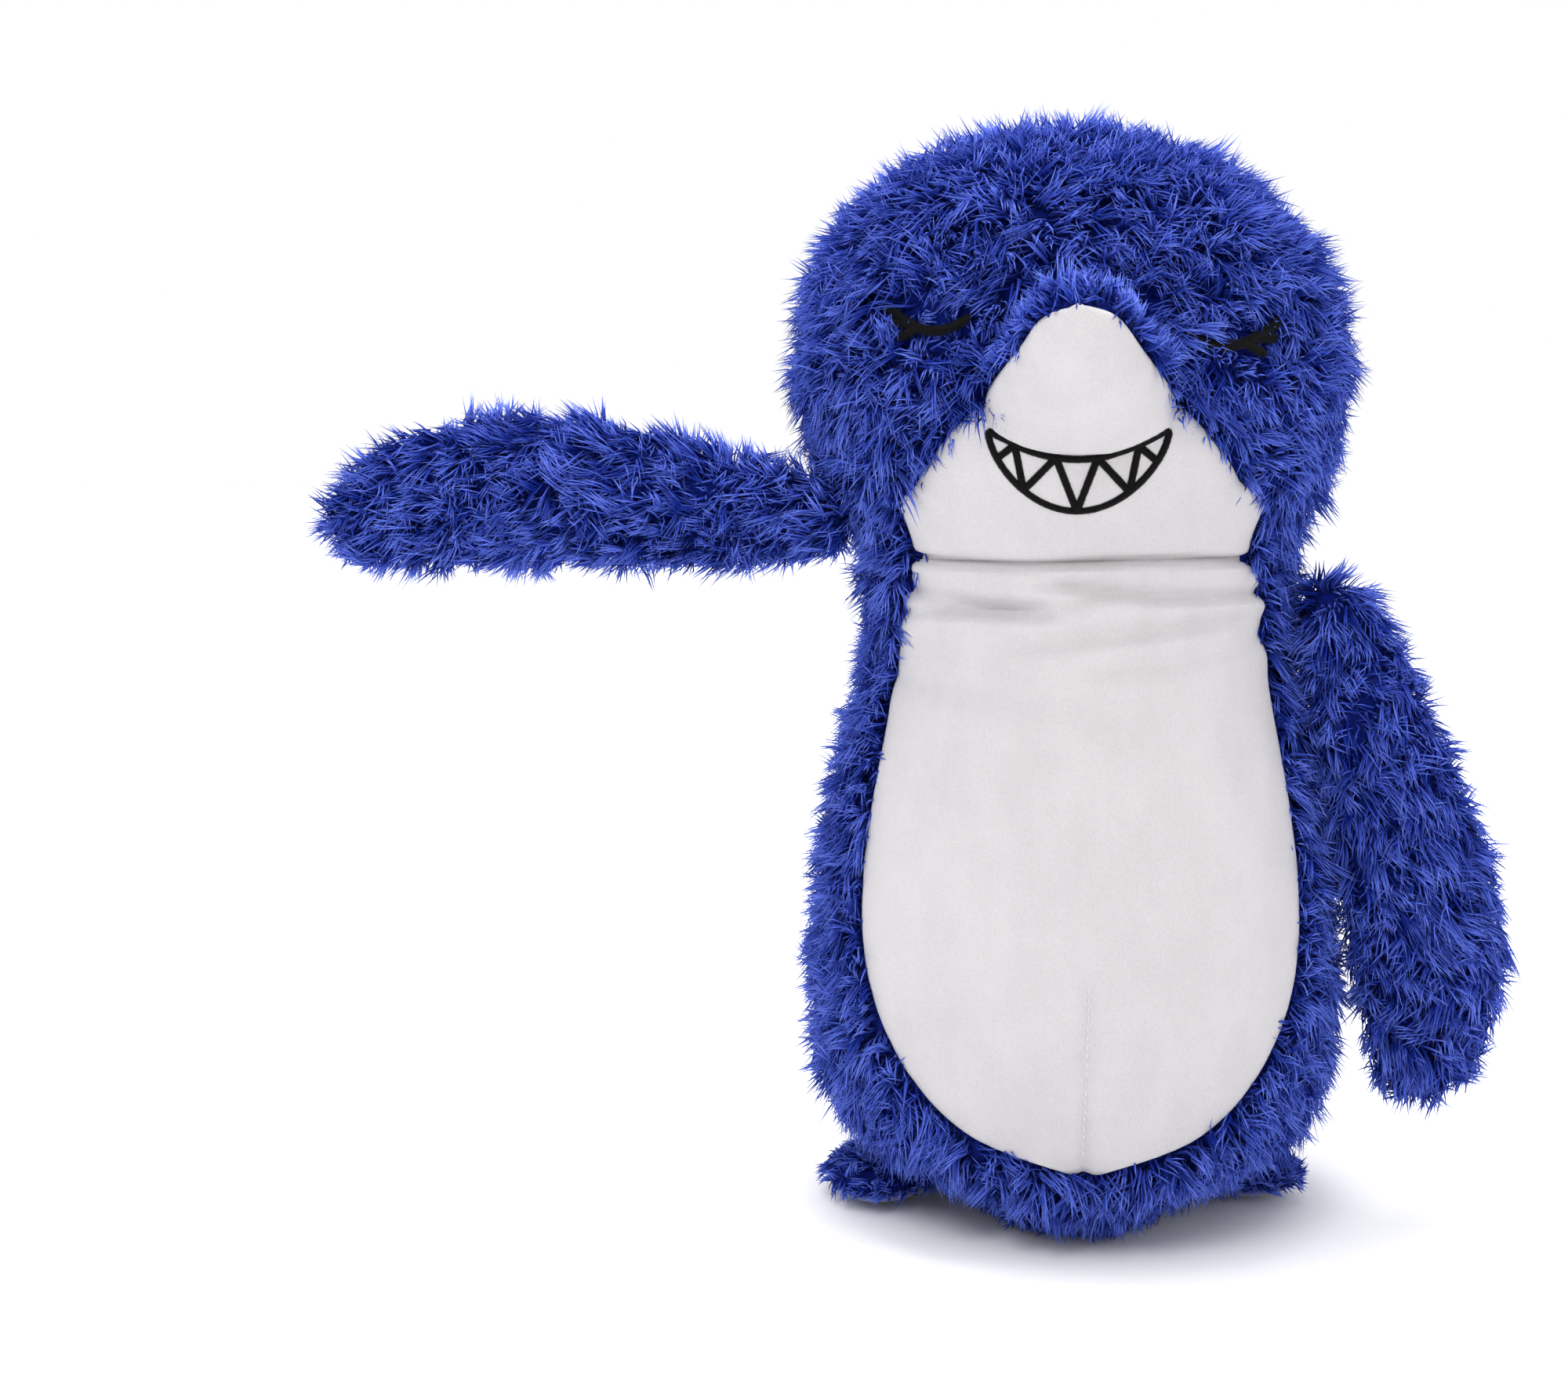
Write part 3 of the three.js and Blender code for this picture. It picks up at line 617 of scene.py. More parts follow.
def finish_mesh(mesh, name):
    """A bmesh becomes a linked, smooth-shaded object with its faces pointing out."""
    bmesh.ops.recalc_face_normals(mesh, faces=mesh.faces)
    data = bpy.data.meshes.new(name)
    mesh.to_mesh(data)
    mesh.free()
    data.shade_smooth()
    made = bpy.data.objects.new(name, data)
    bpy.context.scene.collection.objects.link(made)
    return made


def apply_modifiers(piece):
    seen = piece.evaluated_get(bpy.context.evaluated_depsgraph_get())
    data = bpy.data.meshes.new_from_object(seen)
    piece.modifiers.clear()
    piece.data = data


def dress(piece, material, slot, plain=None):
    """Puts the patterned material on the object's slot, over a plain one in its mesh."""
    piece.data.materials.clear()
    piece.data.materials.append(plain or material)
    piece.material_slots[0].link = "OBJECT"
    piece.material_slots[0].material = material
    return piece


def make_panel(name, form, rows, left, right, proud, thickness, pitch, shape=None):
    """A closed cloth panel on a form, between two rows and two angles that may vary with the row.

    proud and shape move the cloth out: shape takes rows, shares across and points.
    """
    low, high = rows
    middle = (low + high) / 2
    tall = np.linalg.norm(np.diff(form.points(np.linspace(low, high, 60), 0.0), axis=0), axis=1).sum()
    spread = np.linspace(left(np.array([middle]))[0], right(np.array([middle]))[0], 60)
    wide = np.linalg.norm(np.diff(form.points(middle, spread), axis=0), axis=1).sum()
    sheet = bmesh.new()
    s, c, layer = start_grid(sheet, max(2, round(tall / pitch)), max(2, round(wide / pitch)), True)
    t = low + s * (high - low)
    a = left(t) + c * (right(t) - left(t))
    out = np.full(t.shape, proud)
    if shape is not None:
        out = out + shape(t, c, form.points(t, a))
    place(sheet, form.points(t, a, out - thickness * layer))
    bmesh.ops.remove_doubles(sheet, verts=sheet.verts, dist=0.02 * MM)
    return finish_mesh(sheet, name)


def strand_prototype(sides, tip, bends):
    """A closed strand of radius 1 and length 1 about the origin, with a ring at each bend."""
    strand = bmesh.new()
    bmesh.ops.create_cone(strand, cap_ends=True, segments=sides, radius1=1, radius2=tip, depth=1)
    for height in bends:
        geometry = strand.verts[:] + strand.edges[:] + strand.faces[:]
        bmesh.ops.bisect_plane(strand, geom=geometry, plane_co=(0, 0, height), plane_no=(0, 0, 1))
    bmesh.ops.remove_doubles(strand, verts=strand.verts, dist=1e-4)
    strand.verts.index_update()
    corners = np.array([v.co for v in strand.verts])
    faces = [[v.index for v in f.verts] for f in strand.faces]
    strand.free()
    return corners, faces


def stamp(name, vertices, faces):
    """Joins copies of one small closed shape, whose vertices are given as copies x corners x 3."""
    copies, corners = vertices.shape[:2]
    loops = np.concatenate(faces)
    starts = np.cumsum([0] + [len(f) for f in faces[:-1]])
    offset = np.arange(copies)[:, None]
    data = bpy.data.meshes.new(name)
    data.vertices.add(copies * corners)
    data.vertices.foreach_set("co", vertices.astype(np.float32).ravel())
    data.loops.add(copies * len(loops))
    data.loops.foreach_set("vertex_index", (loops + offset * corners).astype(np.int32).ravel())
    data.polygons.add(copies * len(faces))
    data.polygons.foreach_set("loop_start", (starts + offset * len(loops)).astype(np.int32).ravel())
    data.update(calc_edges=True)
    data.shade_smooth()
    made = bpy.data.objects.new(name, data)
    bpy.context.scene.collection.objects.link(made)
    return made


def across_path(tangents):
    """Two unit vectors square to each tangent."""
    reference = np.where(np.abs(tangents[..., 2:]) > 0.9, [1.0, 0.0, 0.0], [0.0, 0.0, 1.0])
    first = unit(np.cross(tangents, reference))
    return first, np.cross(tangents, first)


# ---------------------------------------------------------------- pile


def scatter(form, rows, count, random):
    """Random places on a form, spread evenly over its area, as rows and angles."""
    t_cells = np.arange(max(rows[0], 0), min(rows[1], form.last), 1.0) + 0.5
    a_cells = (np.arange(form.around) + 0.5) * 360 / form.around
    t, a = np.meshgrid(t_cells, a_cells, indexing="ij")
    along = form.points(t + 0.5, a) - form.points(t - 0.5, a)
    turn = 180 / form.around
    about = form.points(t, a + turn) - form.points(t, a - turn)
    area = np.linalg.norm(np.cross(about, along), axis=-1).ravel()
    number = int(count(area.sum()))
    cells = random.choice(area.size, number, p=area / area.sum())
    t_found = t.ravel()[cells] + random.uniform(-0.5, 0.5, number)
    a_found = a.ravel()[cells] + random.uniform(-turn, turn, number)
    return np.clip(t_found, 0, form.last), (a_found + 180) % 360 - 180


def noise_at(points, waves):
    """A smooth random direction at each point, in waves per metre."""
    return np.array([noise.noise_vector(Vector(p) * waves) for p in points])


def bumps(points, waves):
    """A smooth random height from -1 to 1 at each point, in waves per metre."""
    return np.array([noise.noise(Vector(p) * waves) for p in points])


def nearest(places, points):
    """The index of the place nearest to each point."""
    tree = kdtree.KDTree(len(places))
    for i, place_at in enumerate(places):
        tree.insert(place_at, i)
    tree.balance()
    return np.array([tree.find(point)[1] for point in points])


class Pile:
    """Locks of fur on a form, gathered into tufts that lean and curl together."""

    NAP_WAVES = 55.0  # waves per metre in how the nap wanders
    NAP_WANDER = 0.8
    TUFT_SPREAD = 0.38  # how far tufts lean at random
    LOCK_SPREAD = 0.2
    GATHER = 0.62  # share of the way to its tuft's middle that a lock leans
    GATHER_POWER = 1.4
    CURL = 0.26  # sideways swing as a share of the lock's length
    CURL_TURN = 5.0  # radians of the swing along a lock
    BLUNTNESS = 0.42  # low powers keep a lock thick up to its tip
    ROOT_DEPTH = MM

    def __init__(self, form, rows, grows, comb, seed, length=1.0, density=1.0, lift=0.75, trim=None):
        look = bpy.context.scene.shark_pile
        random = np.random.default_rng(look.seed + seed)
        noise.seed_set(look.seed + seed)
        per_area = look.density * density / MM**2
        t, a = scatter(form, rows, lambda area: area * per_area, random)
        tufts = form.points(*scatter(form, rows, lambda area: area / look.tuft**2, random))
        roots = form.points(t, a)
        keep = grows(t, a, roots)
        self.t, self.a, roots = t[keep], a[keep], roots[keep]
        normals = form.normals(self.t, self.a)
        owner = nearest(tufts, roots)
        number = len(roots)

        wander = noise_at(tufts, self.NAP_WAVES) * self.NAP_WANDER
        drift = (wander + random.normal(0, self.TUFT_SPREAD, tufts.shape))[owner]
        tuft_length = random.uniform(0.78, 1.08, len(tufts))[owner]
        tuft_tint = random.uniform(0, 1, len(tufts)) ** 1.3
        curls = unit(random.normal(0, 1, tufts.shape))[owner]
        flow = comb(roots)
        flow = flow - normals * np.sum(flow * normals, axis=1, keepdims=True)
        own = random.normal(0, self.LOCK_SPREAD, (number, 3))
        start = unit(normals * lift + flow * 0.3 + drift * 0.6 + own)
        bend = flow * 0.3 + drift * 0.4 - normals * 0.12
        curl = np.cross(curls, start)
        lengths = look.length * length * tuft_length * random.uniform(0.75, 1.15, number)
        if trim is not None:
            lengths = lengths * trim(roots, self.t, self.a)
        gather = (tufts[owner] - roots) * self.GATHER

        corners, self.faces = strand_prototype(3, 0, (-0.2, 0.15))
        self.share = corners[:, 2] + 0.5
        steps = np.unique(np.round(self.share, 5))
        path = np.stack([
            roots - normals * self.ROOT_DEPTH
            + lengths[:, None] * (start * s + bend * s * s)
            + gather * s**self.GATHER_POWER
            + curl * (self.CURL * lengths * math.sin(s * self.CURL_TURN))[:, None]
            for s in steps
        ], axis=1)
        path[..., 2] = np.maximum(path[..., 2], look.radius + FLOOR_CLEARANCE)
        first, second = across_path(unit(np.gradient(path, axis=1)))
        at = np.searchsorted(steps, np.round(self.share, 5))
        taper = look.radius * (1 - self.share) ** self.BLUNTNESS
        thick = (taper[None, :] * random.uniform(0.8, 1.25, (number, 1)))[..., None]
        round_about = np.arctan2(corners[:, 1], corners[:, 0])
        cosine, sine = np.cos(round_about)[:, None], np.sin(round_about)[:, None]
        self.vertices = path[:, at] + thick * (first[:, at] * cosine + second[:, at] * sine)
        self.tint = np.clip(tuft_tint[owner] + random.normal(0, 0.15, number), 0, 1)

    def piece(self, name, mask=None):
        """The locks that a mask picks, as one object."""
        picked = np.ones(len(self.tint), bool) if mask is None else mask
        made = stamp(name, self.vertices[picked], self.faces)
        for label, values in (
            ("along", np.tile(self.share, picked.sum())),
            ("tint", np.repeat(self.tint[picked], len(self.share))),
        ):
            layer = made.data.attributes.new(label, "FLOAT", "POINT")
            layer.data.foreach_set("value", values.astype(np.float32))
        return dress(made, pile_finish(), "blue_fur", plain_blue())


@lru_cache(None)
def plain_blue():
    """Even blue, for where the pile's own colours can't be kept."""
    look = bpy.context.scene.shark_pile
    finish = Finish("blue_plain", Roughness=0.75, Sheen_Weight=0.35)
    finish.shader.inputs["Base Color"].default_value = (*look.middle, 1)
    return finish.material


def combed(*directions):
    """A comb direction that is the same everywhere."""
    total = sum((np.array(d, float) for d in directions), np.zeros(3))
    return lambda points: np.tile(total, (len(points), 1))


# ---------------------------------------------------------------- the plush's own forms


@lru_cache(None)
def plush():
    """Torso, neck and head as one form."""
    nodes = TORSO_FUR + HEAD_FUR + WHITE + ("base_panel", "neck_seam_band")
    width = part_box("head_left_fur_panel")[0].x
    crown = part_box("head_left_fur_panel")[1].z
    low = (0, 0, 0.06)
    high = (0.03 * width, 0, crown + 0.9 * width)
    rows, end_rows = 60, 26
    row = lambda z: end_rows + (z - low[2]) / (high[2] - low[2]) * rows
    bridge = (row(NOD_HEIGHT - 0.5 * MM), row(WEDGE_TOP))
    form = Form(CadSurface(nodes), low, high, (0, -1, 0), end_rows, rows, 120, bridge, (1.7, 2.4))
    form.puff(4, 2.2 * MM, 5 * MM, 5 * MM)
    return form


@lru_cache(None)
def white_edges():
    """Rows, and the angles left and right of the front where the white panels end."""
    form = plush()
    surface = CadSurface(TORSO_FUR + HEAD_FUR + WHITE)
    rows, lefts, rights = [], [], []
    for t in np.arange(4, form.last - 4, 0.5):
        edges = []
        for side in (-1, 1):
            inside, outside = 0.0, 100.0
            if surface.hit(*form.rays(t, 0.0))[1] not in WHITE:
                break
            for _ in range(12):
                middle = (inside + outside) / 2
                if surface.hit(*form.rays(t, side * middle))[1] in WHITE:
                    inside = middle
                else:
                    outside = middle
            edges.append(inside)
        height = form.points(t, 0.0)[2]
        if len(edges) == 2 and not NECK_TOP - MM < height < WEDGE_TOP:
            rows.append(t)
            lefts.append(edges[0])
            rights.append(edges[1])
    return np.array(rows), soft_line(lefts), soft_line(rights)


def soft_line(values):
    """Rounds the corners of a line of values, and keeps its ends."""
    padded = np.pad(np.array(values), 3, mode="reflect", reflect_type="odd")
    return np.convolve(padded, np.ones(7) / 7, mode="valid")


def white_left(t):
    rows, lefts, _ = white_edges()
    return -np.interp(t, rows, lefts, left=0, right=0)


def white_right(t):
    rows, _, rights = white_edges()
    return np.interp(t, rows, rights, left=0, right=0)


def row_of(height):
    """The plush's row at a height between the ends of its spine."""
    return float(plush().row_at((0, 0, height)))


def on_cloth(piece, body):
    """Bakes cloth of the torso, neck or head into its mesh; every body is treated the same."""
    if body == "torso":
        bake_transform(piece)
    else:
        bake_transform(piece)
    return piece


# ---------------------------------------------------------------- pieces of the body and head


def fur_grows(t, a, roots):
    """Where the body's and head's fur is rooted: off the white panels, the base and the snout."""
    off_white = (a < white_left(t) - 0.3) | (a > white_right(t) + 0.3)
    on_base = roots[:, 2] < 3 * MM
    return off_white & ~on_base & ~snout().holds(roots, -2 * MM)


EYE_CLEARING = np.array([14 * MM, 30 * MM, 9.5 * MM])  # half sizes of the sheared patch at an eye
SHEARED = 0.3  # share of its length that pile keeps there
FOOT_SHARE = 0.55
FOOT_HEIGHT = 40 * MM


def fur_trim(points, t, a):
    """Pile is sheared short around the eyes and beside the white panels, and is shorter at the foot."""
    past_edge = np.maximum(white_left(t) - a, a - white_right(t))
    above_neck = np.clip((points[:, 2] - NECK_SEAM) / (30 * MM), 0, 1)
    reach = 6 + 6 * above_neck
    edge = np.where(white_right(t) > 0, np.clip(past_edge / reach, 0, 1), 1)
    keep = (0.72 - 0.22 * above_neck) + (0.28 + 0.22 * above_neck) * edge
    for name in ("left_eye_embroidery", "right_eye_embroidery"):
        low, high = (np.array(corner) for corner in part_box(name))
        middle = (low + high) / 2
        far = np.linalg.norm((points - middle) / EYE_CLEARING, axis=1)
        keep *= np.clip(SHEARED + (1 - SHEARED) * (far - 0.6) / 0.8, SHEARED, 1)
    foot = np.clip(FOOT_SHARE + (1 - FOOT_SHARE) * points[:, 2] / FOOT_HEIGHT, FOOT_SHARE, 1)
    return keep * foot


def body_comb(points):
    """Down the body, and away from the crown."""
    centre = plush().high
    flow = np.tile([0.0, 0.0, -1.0], (len(points), 1))
    crown = np.clip((points[:, 2] - centre[2]) / (60 * MM), 0, 1)[:, None]
    away = unit((points - centre) * np.array([1, 1, 0]))
    return flow * (1 - 0.35 * crown) + away * crown * 0.5


def full_turn(sign, edge):
    """An angle that runs from the white panel's edge, or the front, to the middle of the back."""
    return (lambda t: np.full(t.shape, sign * 180.0)), (lambda t: edge(t) - sign * 2.0 * (edge(t) != 0))


class SHARK_OT_plush_fur(bpy.types.Operator):
    """Backing cloth, pile and filling of the torso and the head"""

    bl_idname = "shark.plush_fur"
    bl_label = "Body and head fur"

    def execute(self, context):
        form = plush()
        seam = row_of(NECK_SEAM)
        parts = {"torso": (0, seam), "head": (seam, form.last)}
        for body, rows in parts.items():
            for side, sign, edge in (("left", -1, white_left), ("right", 1, white_right)):
                back, front = full_turn(sign, edge)
                left, right = (back, front) if sign < 0 else (front, back)
                cloth = make_panel(
                    f"{body}_{side}_fur_backing", form, rows, left, right, -1.2 * MM, 1.2 * MM, 4 * MM
                )
                dress(cloth, backing_finish(), "blue_fur")
                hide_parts(f"{body}_{side}_fur_panel")
                on_cloth(cloth, body)
            middle = row_of(0.105) if body == "torso" else row_of(NECK_SEAM + 66 * MM)
            pile = Pile(form, rows, fur_grows, body_comb, len(body), trim=fur_trim)
            for side, left_side in (("left", True), ("right", False)):
                for level, low in (("lower", True), ("upper", False)):
                    mask = ((pile.a < 0) == left_side) & ((pile.t < middle) == low)
                    locks = pile.piece(f"{body}_{side}_{level}_pile", mask)
                    on_cloth(locks, body)
        fillings = {
            "torso": (0, row_of(NECK_TOP - 16 * MM)),
            "head": (row_of(WEDGE_TOP + 8 * MM), form.last),
        }
        for body, rows in fillings.items():
            make_filling(f"{body}_filling", form, rows, body, (f"{body}_stuffing",), 9 * MM)
        return {"FINISHED"}


def make_filling(name, form, rows, body, nodes, inset):
    """A lump of fibre filling inside a form."""
    lump = bmesh.new()
    t, a, _ = start_grid(lump, 24, 32)
    t = rows[0] + t * (rows[1] - rows[0])
    points = form.points(t, a * 360)
    centres, _ = form.rays(t, a * 360)
    reach = np.linalg.norm(points - centres, axis=1, keepdims=True)
    place(lump, centres + (points - centres) * np.clip(1 - inset / np.maximum(reach, 1e-6), 0.2, 1))
    bmesh.ops.remove_doubles(lump, verts=lump.verts, dist=0.05 * MM)
    open_edges = [e for e in lump.edges if e.is_boundary]
    if open_edges:
        bmesh.ops.holes_fill(lump, edges=open_edges, sides=0)
    made = dress(finish_mesh(lump, name), filling_finish(), "polyester_filling")
    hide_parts(*nodes)
    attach(made, body)
    return made


PANEL_CROWN = 1.9 * MM  # the velour stands this far above its seams
SNOUT_CROWN = 1.6 * MM
DART_DEPTH = 1.7 * MM
DART_HALF_WIDTH = 2.2 * MM

# Folds across the white neck: how far below the neck seam, slope, from and to across, depth and
# half width, in millimetres.
NECK_FOLDS = (
    (0, 0.01, -90, 90, 3.4, 1.6),
    (9, -0.05, -20, 85, 2.9, 2.3),
    (12, 0.12, -85, 10, 2.2, 2.4),
    (20, -0.16, -85, -2, 3.2, 2.8),
    (24, 0.08, -30, 62, 2.3, 3.0),
    (34, 0.12, -8, 85, 1.5, 3.8),
    (46, -0.10, -75, 5, 1.0, 4.5),
)


def panel_crown(t, c, points):
    """How a white panel stands up from its seams, with the neck's folds and the belly's dart."""
    edge = np.minimum(c, 1 - c)
    rise = PANEL_CROWN * (1 - np.exp(-edge / 0.035))
    z = points[:, 2]
    x = points[:, 0]
    for drop, tilt, start, stop, depth, spread in NECK_FOLDS:
        line = NECK_SEAM - drop * MM + tilt * x + 0.9 * MM * np.sin(x * 75 + drop)
        window = np.clip((x / MM - start) / 14, 0, 1) * np.clip((stop - x / MM) / 14, 0, 1)
        away = (z - line) / (spread * MM)
        rise = rise - depth * MM * window * np.exp(-(away**2))
        rise = rise + 0.55 * depth * MM * window * np.exp(-(((away + 2.1) / 1.3) ** 2))
    dart_low, dart_high = (corner.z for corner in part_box("belly_dart_stitching"))
    dart = np.clip((dart_high - z) / (12 * MM), 0, 1) * (z > dart_low - 5 * MM)
    rise = rise - dart * DART_DEPTH * np.exp(-(((x - 0.6 * MM) / DART_HALF_WIDTH) ** 2))
    pucker = 0.25 * MM * np.sin(z * 820) * np.exp(-(np.abs(x) / (9 * MM)) ** 2)
    lumps = bumps(points, 28) * 0.9 * MM
    lumps += bumps(points, 95) * 0.18 * MM
    return rise + dart * pucker + lumps * np.clip(edge / 0.08, 0, 1)


class SHARK_OT_velour(bpy.types.Operator):
    """White velour of the belly, the neck and the jaw"""

    bl_idname = "shark.velour"
    bl_label = "White velour panels"

    def execute(self, context):
        look = context.scene.shark_velour
        form = plush()
        seam = row_of(NECK_SEAM)
        rows = white_edges()[0]
        snout_cover = row_of(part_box("face_panel")[1].z - 2 * MM)
        for name, span, body, nodes in (
            ("belly_velour", (rows[0], seam), "torso", ("belly_panel", "neck_seam_band")),
            ("face_velour", (seam, snout_cover), "head", ("face_panel",)),
        ):
            panel = make_panel(
                name, form, span, white_left, white_right, 0.0, look.thickness, look.pitch, panel_crown
            )
            dress(panel, velour_finish(), "white_velour")
            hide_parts(*nodes)
            on_cloth(panel, body)
        ring_rows = (row_of(NECK_TOP - 4 * MM), row_of(NOD_HEIGHT + 4 * MM))
        make_filling("neck_filling", form, ring_rows, "neck", ("neck_stuffing",), 12 * MM)
        return {"FINISHED"}


# ---------------------------------------------------------------- snout

SNOUT_LIFT = math.radians(28)


@lru_cache(None)
def snout():
    """The upturned snout as a form along its own axis, with its front angle on the white underside."""
    nodes = ("snout_underside", "snout_fur_top")
    axis = np.array(FACING * math.cos(SNOUT_LIFT) + UP * math.sin(SNOUT_LIFT))
    under = np.array(FACING * math.sin(SNOUT_LIFT) - UP * math.cos(SNOUT_LIFT))
    top = np.array([v.co for v in frame["nodes"]["snout_fur_top"].data.vertices])
    tip = top[np.argmax(top @ axis)]
    high = tip - axis * 13 * MM
    low = tip - axis * 80 * MM
    return Form(CadSurface(nodes), low, high, under, 10, 34, 72, None, (1.6, 1.8))


class SHARK_OT_snout(bpy.types.Operator):
    """White underside, fur top and filling of the snout"""

    bl_idname = "shark.snout"
    bl_label = "Snout"

    def execute(self, context):
        look = context.scene.shark_velour
        form = snout()
        first = form.end_rows + 1.0
        quarter = lambda sign: (lambda t: np.full(t.shape, sign * 91.0))

        def crown(t, c, points):
            edge = np.minimum(c, 1 - c)
            lumps = bumps(points, 60) * 0.5 * MM
            return SNOUT_CROWN * (1 - np.exp(-edge / 0.04)) + lumps * np.clip(edge / 0.1, 0, 1)

        under = make_panel(
            "snout_velour", form, (first, form.last), quarter(-1), quarter(1), 0.0,
            look.thickness, look.pitch, crown,
        )
        dress(under, velour_finish(), "white_velour")
        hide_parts("snout_underside")
        top = make_panel(
            "snout_fur_backing", form, (first, form.last), quarter(1), lambda t: np.full(t.shape, 269.0),
            -1.2 * MM, 1.2 * MM, 2.5 * MM,
        )
        dress(top, backing_finish(), "blue_fur")
        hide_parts("snout_fur_top")
        grows = lambda t, a, roots: (np.abs(a) > 92) & ~plush().holds(roots, 1 * MM)
        away = combed(np.array(FACING) * -0.9, (0, 0, 0.25))
        pile = Pile(form, (first, form.last), grows, away, 31, length=0.72, density=1.25, lift=0.7)
        locks = pile.piece("snout_pile")
        for piece in (under, top, locks):
            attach(piece, "head")
        make_filling("snout_filling", form, (first, form.last - 4), "head", ("snout_stuffing",), 6 * MM)
        return {"FINISHED"}


# ---------------------------------------------------------------- embroidery

HALF_STROKE = 1.2 * MM
GUMS = (-0.7, -0.24, 0.22, 0.67)  # where the zigzag meets the upper lip, as shares of its half width
TEETH = (-0.9, -0.6, 0.0, 0.58, 0.88)  # and where the teeth's tips meet the lower lip
LASHES = ((1.0, 35), (0.8, 5), (0.55, -25))  # place along the lid, and degrees above level
LASH_LENGTH = 7.5 * MM
LID_SAG = 4.2 * MM
LID_ABOVE_LASHES = 7 * MM


def cast_on(tree, x, z):
    """The point and normal where a line along the face's direction meets the cloth."""
    side = np.array(NOD_AXIS)
    start = Vector(side * x) + FACING * REACH + UP * z
    point, normal, _, _ = tree.ray_cast(start, -FACING)
    if point is None:
        raise RuntimeError("A stitched stroke misses the cloth.")
    return np.array(point), np.array(normal)


def tree_of(*names):
    """The cloth of some pieces, for rays to meet."""
    mesh = bmesh.new()
    for name in names:
        mesh.from_mesh(bpy.data.objects[name].data)
    tree = BVHTree.FromBMesh(mesh)
    mesh.free()
    return tree


def satin(name, tree, strokes, lift, width):
    """Satin-stitched strokes: close parallel threads laid across each line of [x, z] points."""
    look = bpy.context.scene.shark_thread
    random = np.random.default_rng(5)
    corners, faces = strand_prototype(5, 1, (-0.36, -0.18, 0.0, 0.18, 0.36))
    span = corners[:, 2] * 2
    copies = []
    for line in strokes:
        line = np.array(line, float)
        steps = np.linalg.norm(np.diff(line, axis=0), axis=1)
        total = steps.sum()
        count = max(3, round(total / look.spacing))
        run = np.concatenate([[0], np.cumsum(steps)])
        marks = (np.arange(count) + 0.5) / count * total
        xs, zs = np.interp(marks, run, line[:, 0]), np.interp(marks, run, line[:, 1])
        hits = [cast_on(tree, x, z) for x, z in zip(xs, zs)]
        centres = np.array([h[0] for h in hits])
        normals = unit(soft_rows(np.array([h[1] for h in hits])))
        along = unit(np.gradient(centres, axis=0))
        across = unit(np.cross(normals, along))
        ends = np.minimum(1, 0.62 + 0.38 * np.minimum(marks, total - marks) / (1.1 * MM))
        half = 0.5 * width * ends * random.uniform(0.94, 1.06, count)
        arch = 0.5 * MM * (1 - span**2)
        body = look.radius * (1 - 0.55 * np.abs(span) ** 3)
        copies.append(
            centres[:, None] + normals[:, None] * (lift + arch)[None, :, None]
            + across[:, None] * (half[:, None] * span)[..., None]
            + along[:, None] * (body * corners[:, 0])[None, :, None]
            + normals[:, None] * (body * corners[:, 1])[None, :, None]
        )
    return stamp(name, np.concatenate(copies), faces)


def soft_rows(values):
    padded = np.pad(values, ((4, 4), (0, 0)), mode="edge")
    return np.stack([padded[i:i + len(values)] for i in range(9)]).mean(axis=0)


def mouth_strokes():
    """A grin with five pointed teeth: upper lip, lower lip and zigzag tooth lines."""
    low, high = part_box("mouth_embroidery")
    half = (high.x - low.x) / 2 / NOD_AXIS.x - HALF_STROKE
    corner = high.z - HALF_STROKE
    sag = 0.33 * (high.z - low.z)
    depth = high.z - low.z - sag - 2 * HALF_STROKE
    upper = lambda x: corner - sag * (1 - (x / half) ** 2)
    bowl = lambda x: depth * math.sqrt(max(1 - (x / half) ** 2, 0))
    lower = lambda x: upper(x) - bowl(x)
    shares = np.sin(np.linspace(-math.pi / 2, math.pi / 2, 41))
    strokes = [[(s * half, curve(s * half)) for s in shares] for curve in (upper, lower)]
    for i, gum in enumerate(GUMS):
        for tip in TEETH[i:i + 2]:
            strokes.append([(gum * half, upper(gum * half)), (tip * half, lower(tip * half))])
    return strokes


def eye_strokes(name, side):
    """A closed eye: a drooping lid line with three lashes at its outer end."""
    low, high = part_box(name)
    inner, outer = (low.x, high.x) if side > 0 else (high.x, low.x)
    lid = 0.76 * (outer - inner)
    middle = inner + lid / 2
    level = low.z + LID_ABOVE_LASHES
    point = lambda share: (middle + share * lid / 2, level - LID_SAG * (1 - share**2))
    strokes = [[point(s) for s in np.linspace(-1, 1, 15)]]
    for share, degrees in LASHES:
        x, z = point(share)
        turn = math.radians(degrees)
        across, up = side * LASH_LENGTH * math.cos(turn), LASH_LENGTH * math.sin(turn)
        strokes.append([(x, z), (x + across, z + up)])
    return strokes


class SHARK_OT_embroidery(bpy.types.Operator):
    """Satin-stitched grin and closed eyes"""

    bl_idname = "shark.embroidery"
    bl_label = "Embroidery"

    def execute(self, context):
        look = context.scene.shark_thread
        black = thread_finish("black_thread", tuple(look.black), 0.4)
        face = tree_of("face_velour", "snout_velour")
        grin = satin("mouth_satin_stitch", face, mouth_strokes(), 0.15 * MM, look.width)
        dress(grin, black, "black_thread")
        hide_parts("mouth_embroidery")
        on_cloth(grin, "head")
        for side, sign in (("left", -1), ("right", 1)):
            cloth = tree_of(f"head_{side}_fur_backing")
            name = f"{side}_eye_embroidery"
            eye = satin(f"{side}_eye_satin_stitch", cloth, eye_strokes(name, sign), 4 * MM, 3.6 * MM)
            dress(eye, black, "black_thread")
            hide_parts(name)
            on_cloth(eye, "head")
        return {"FINISHED"}


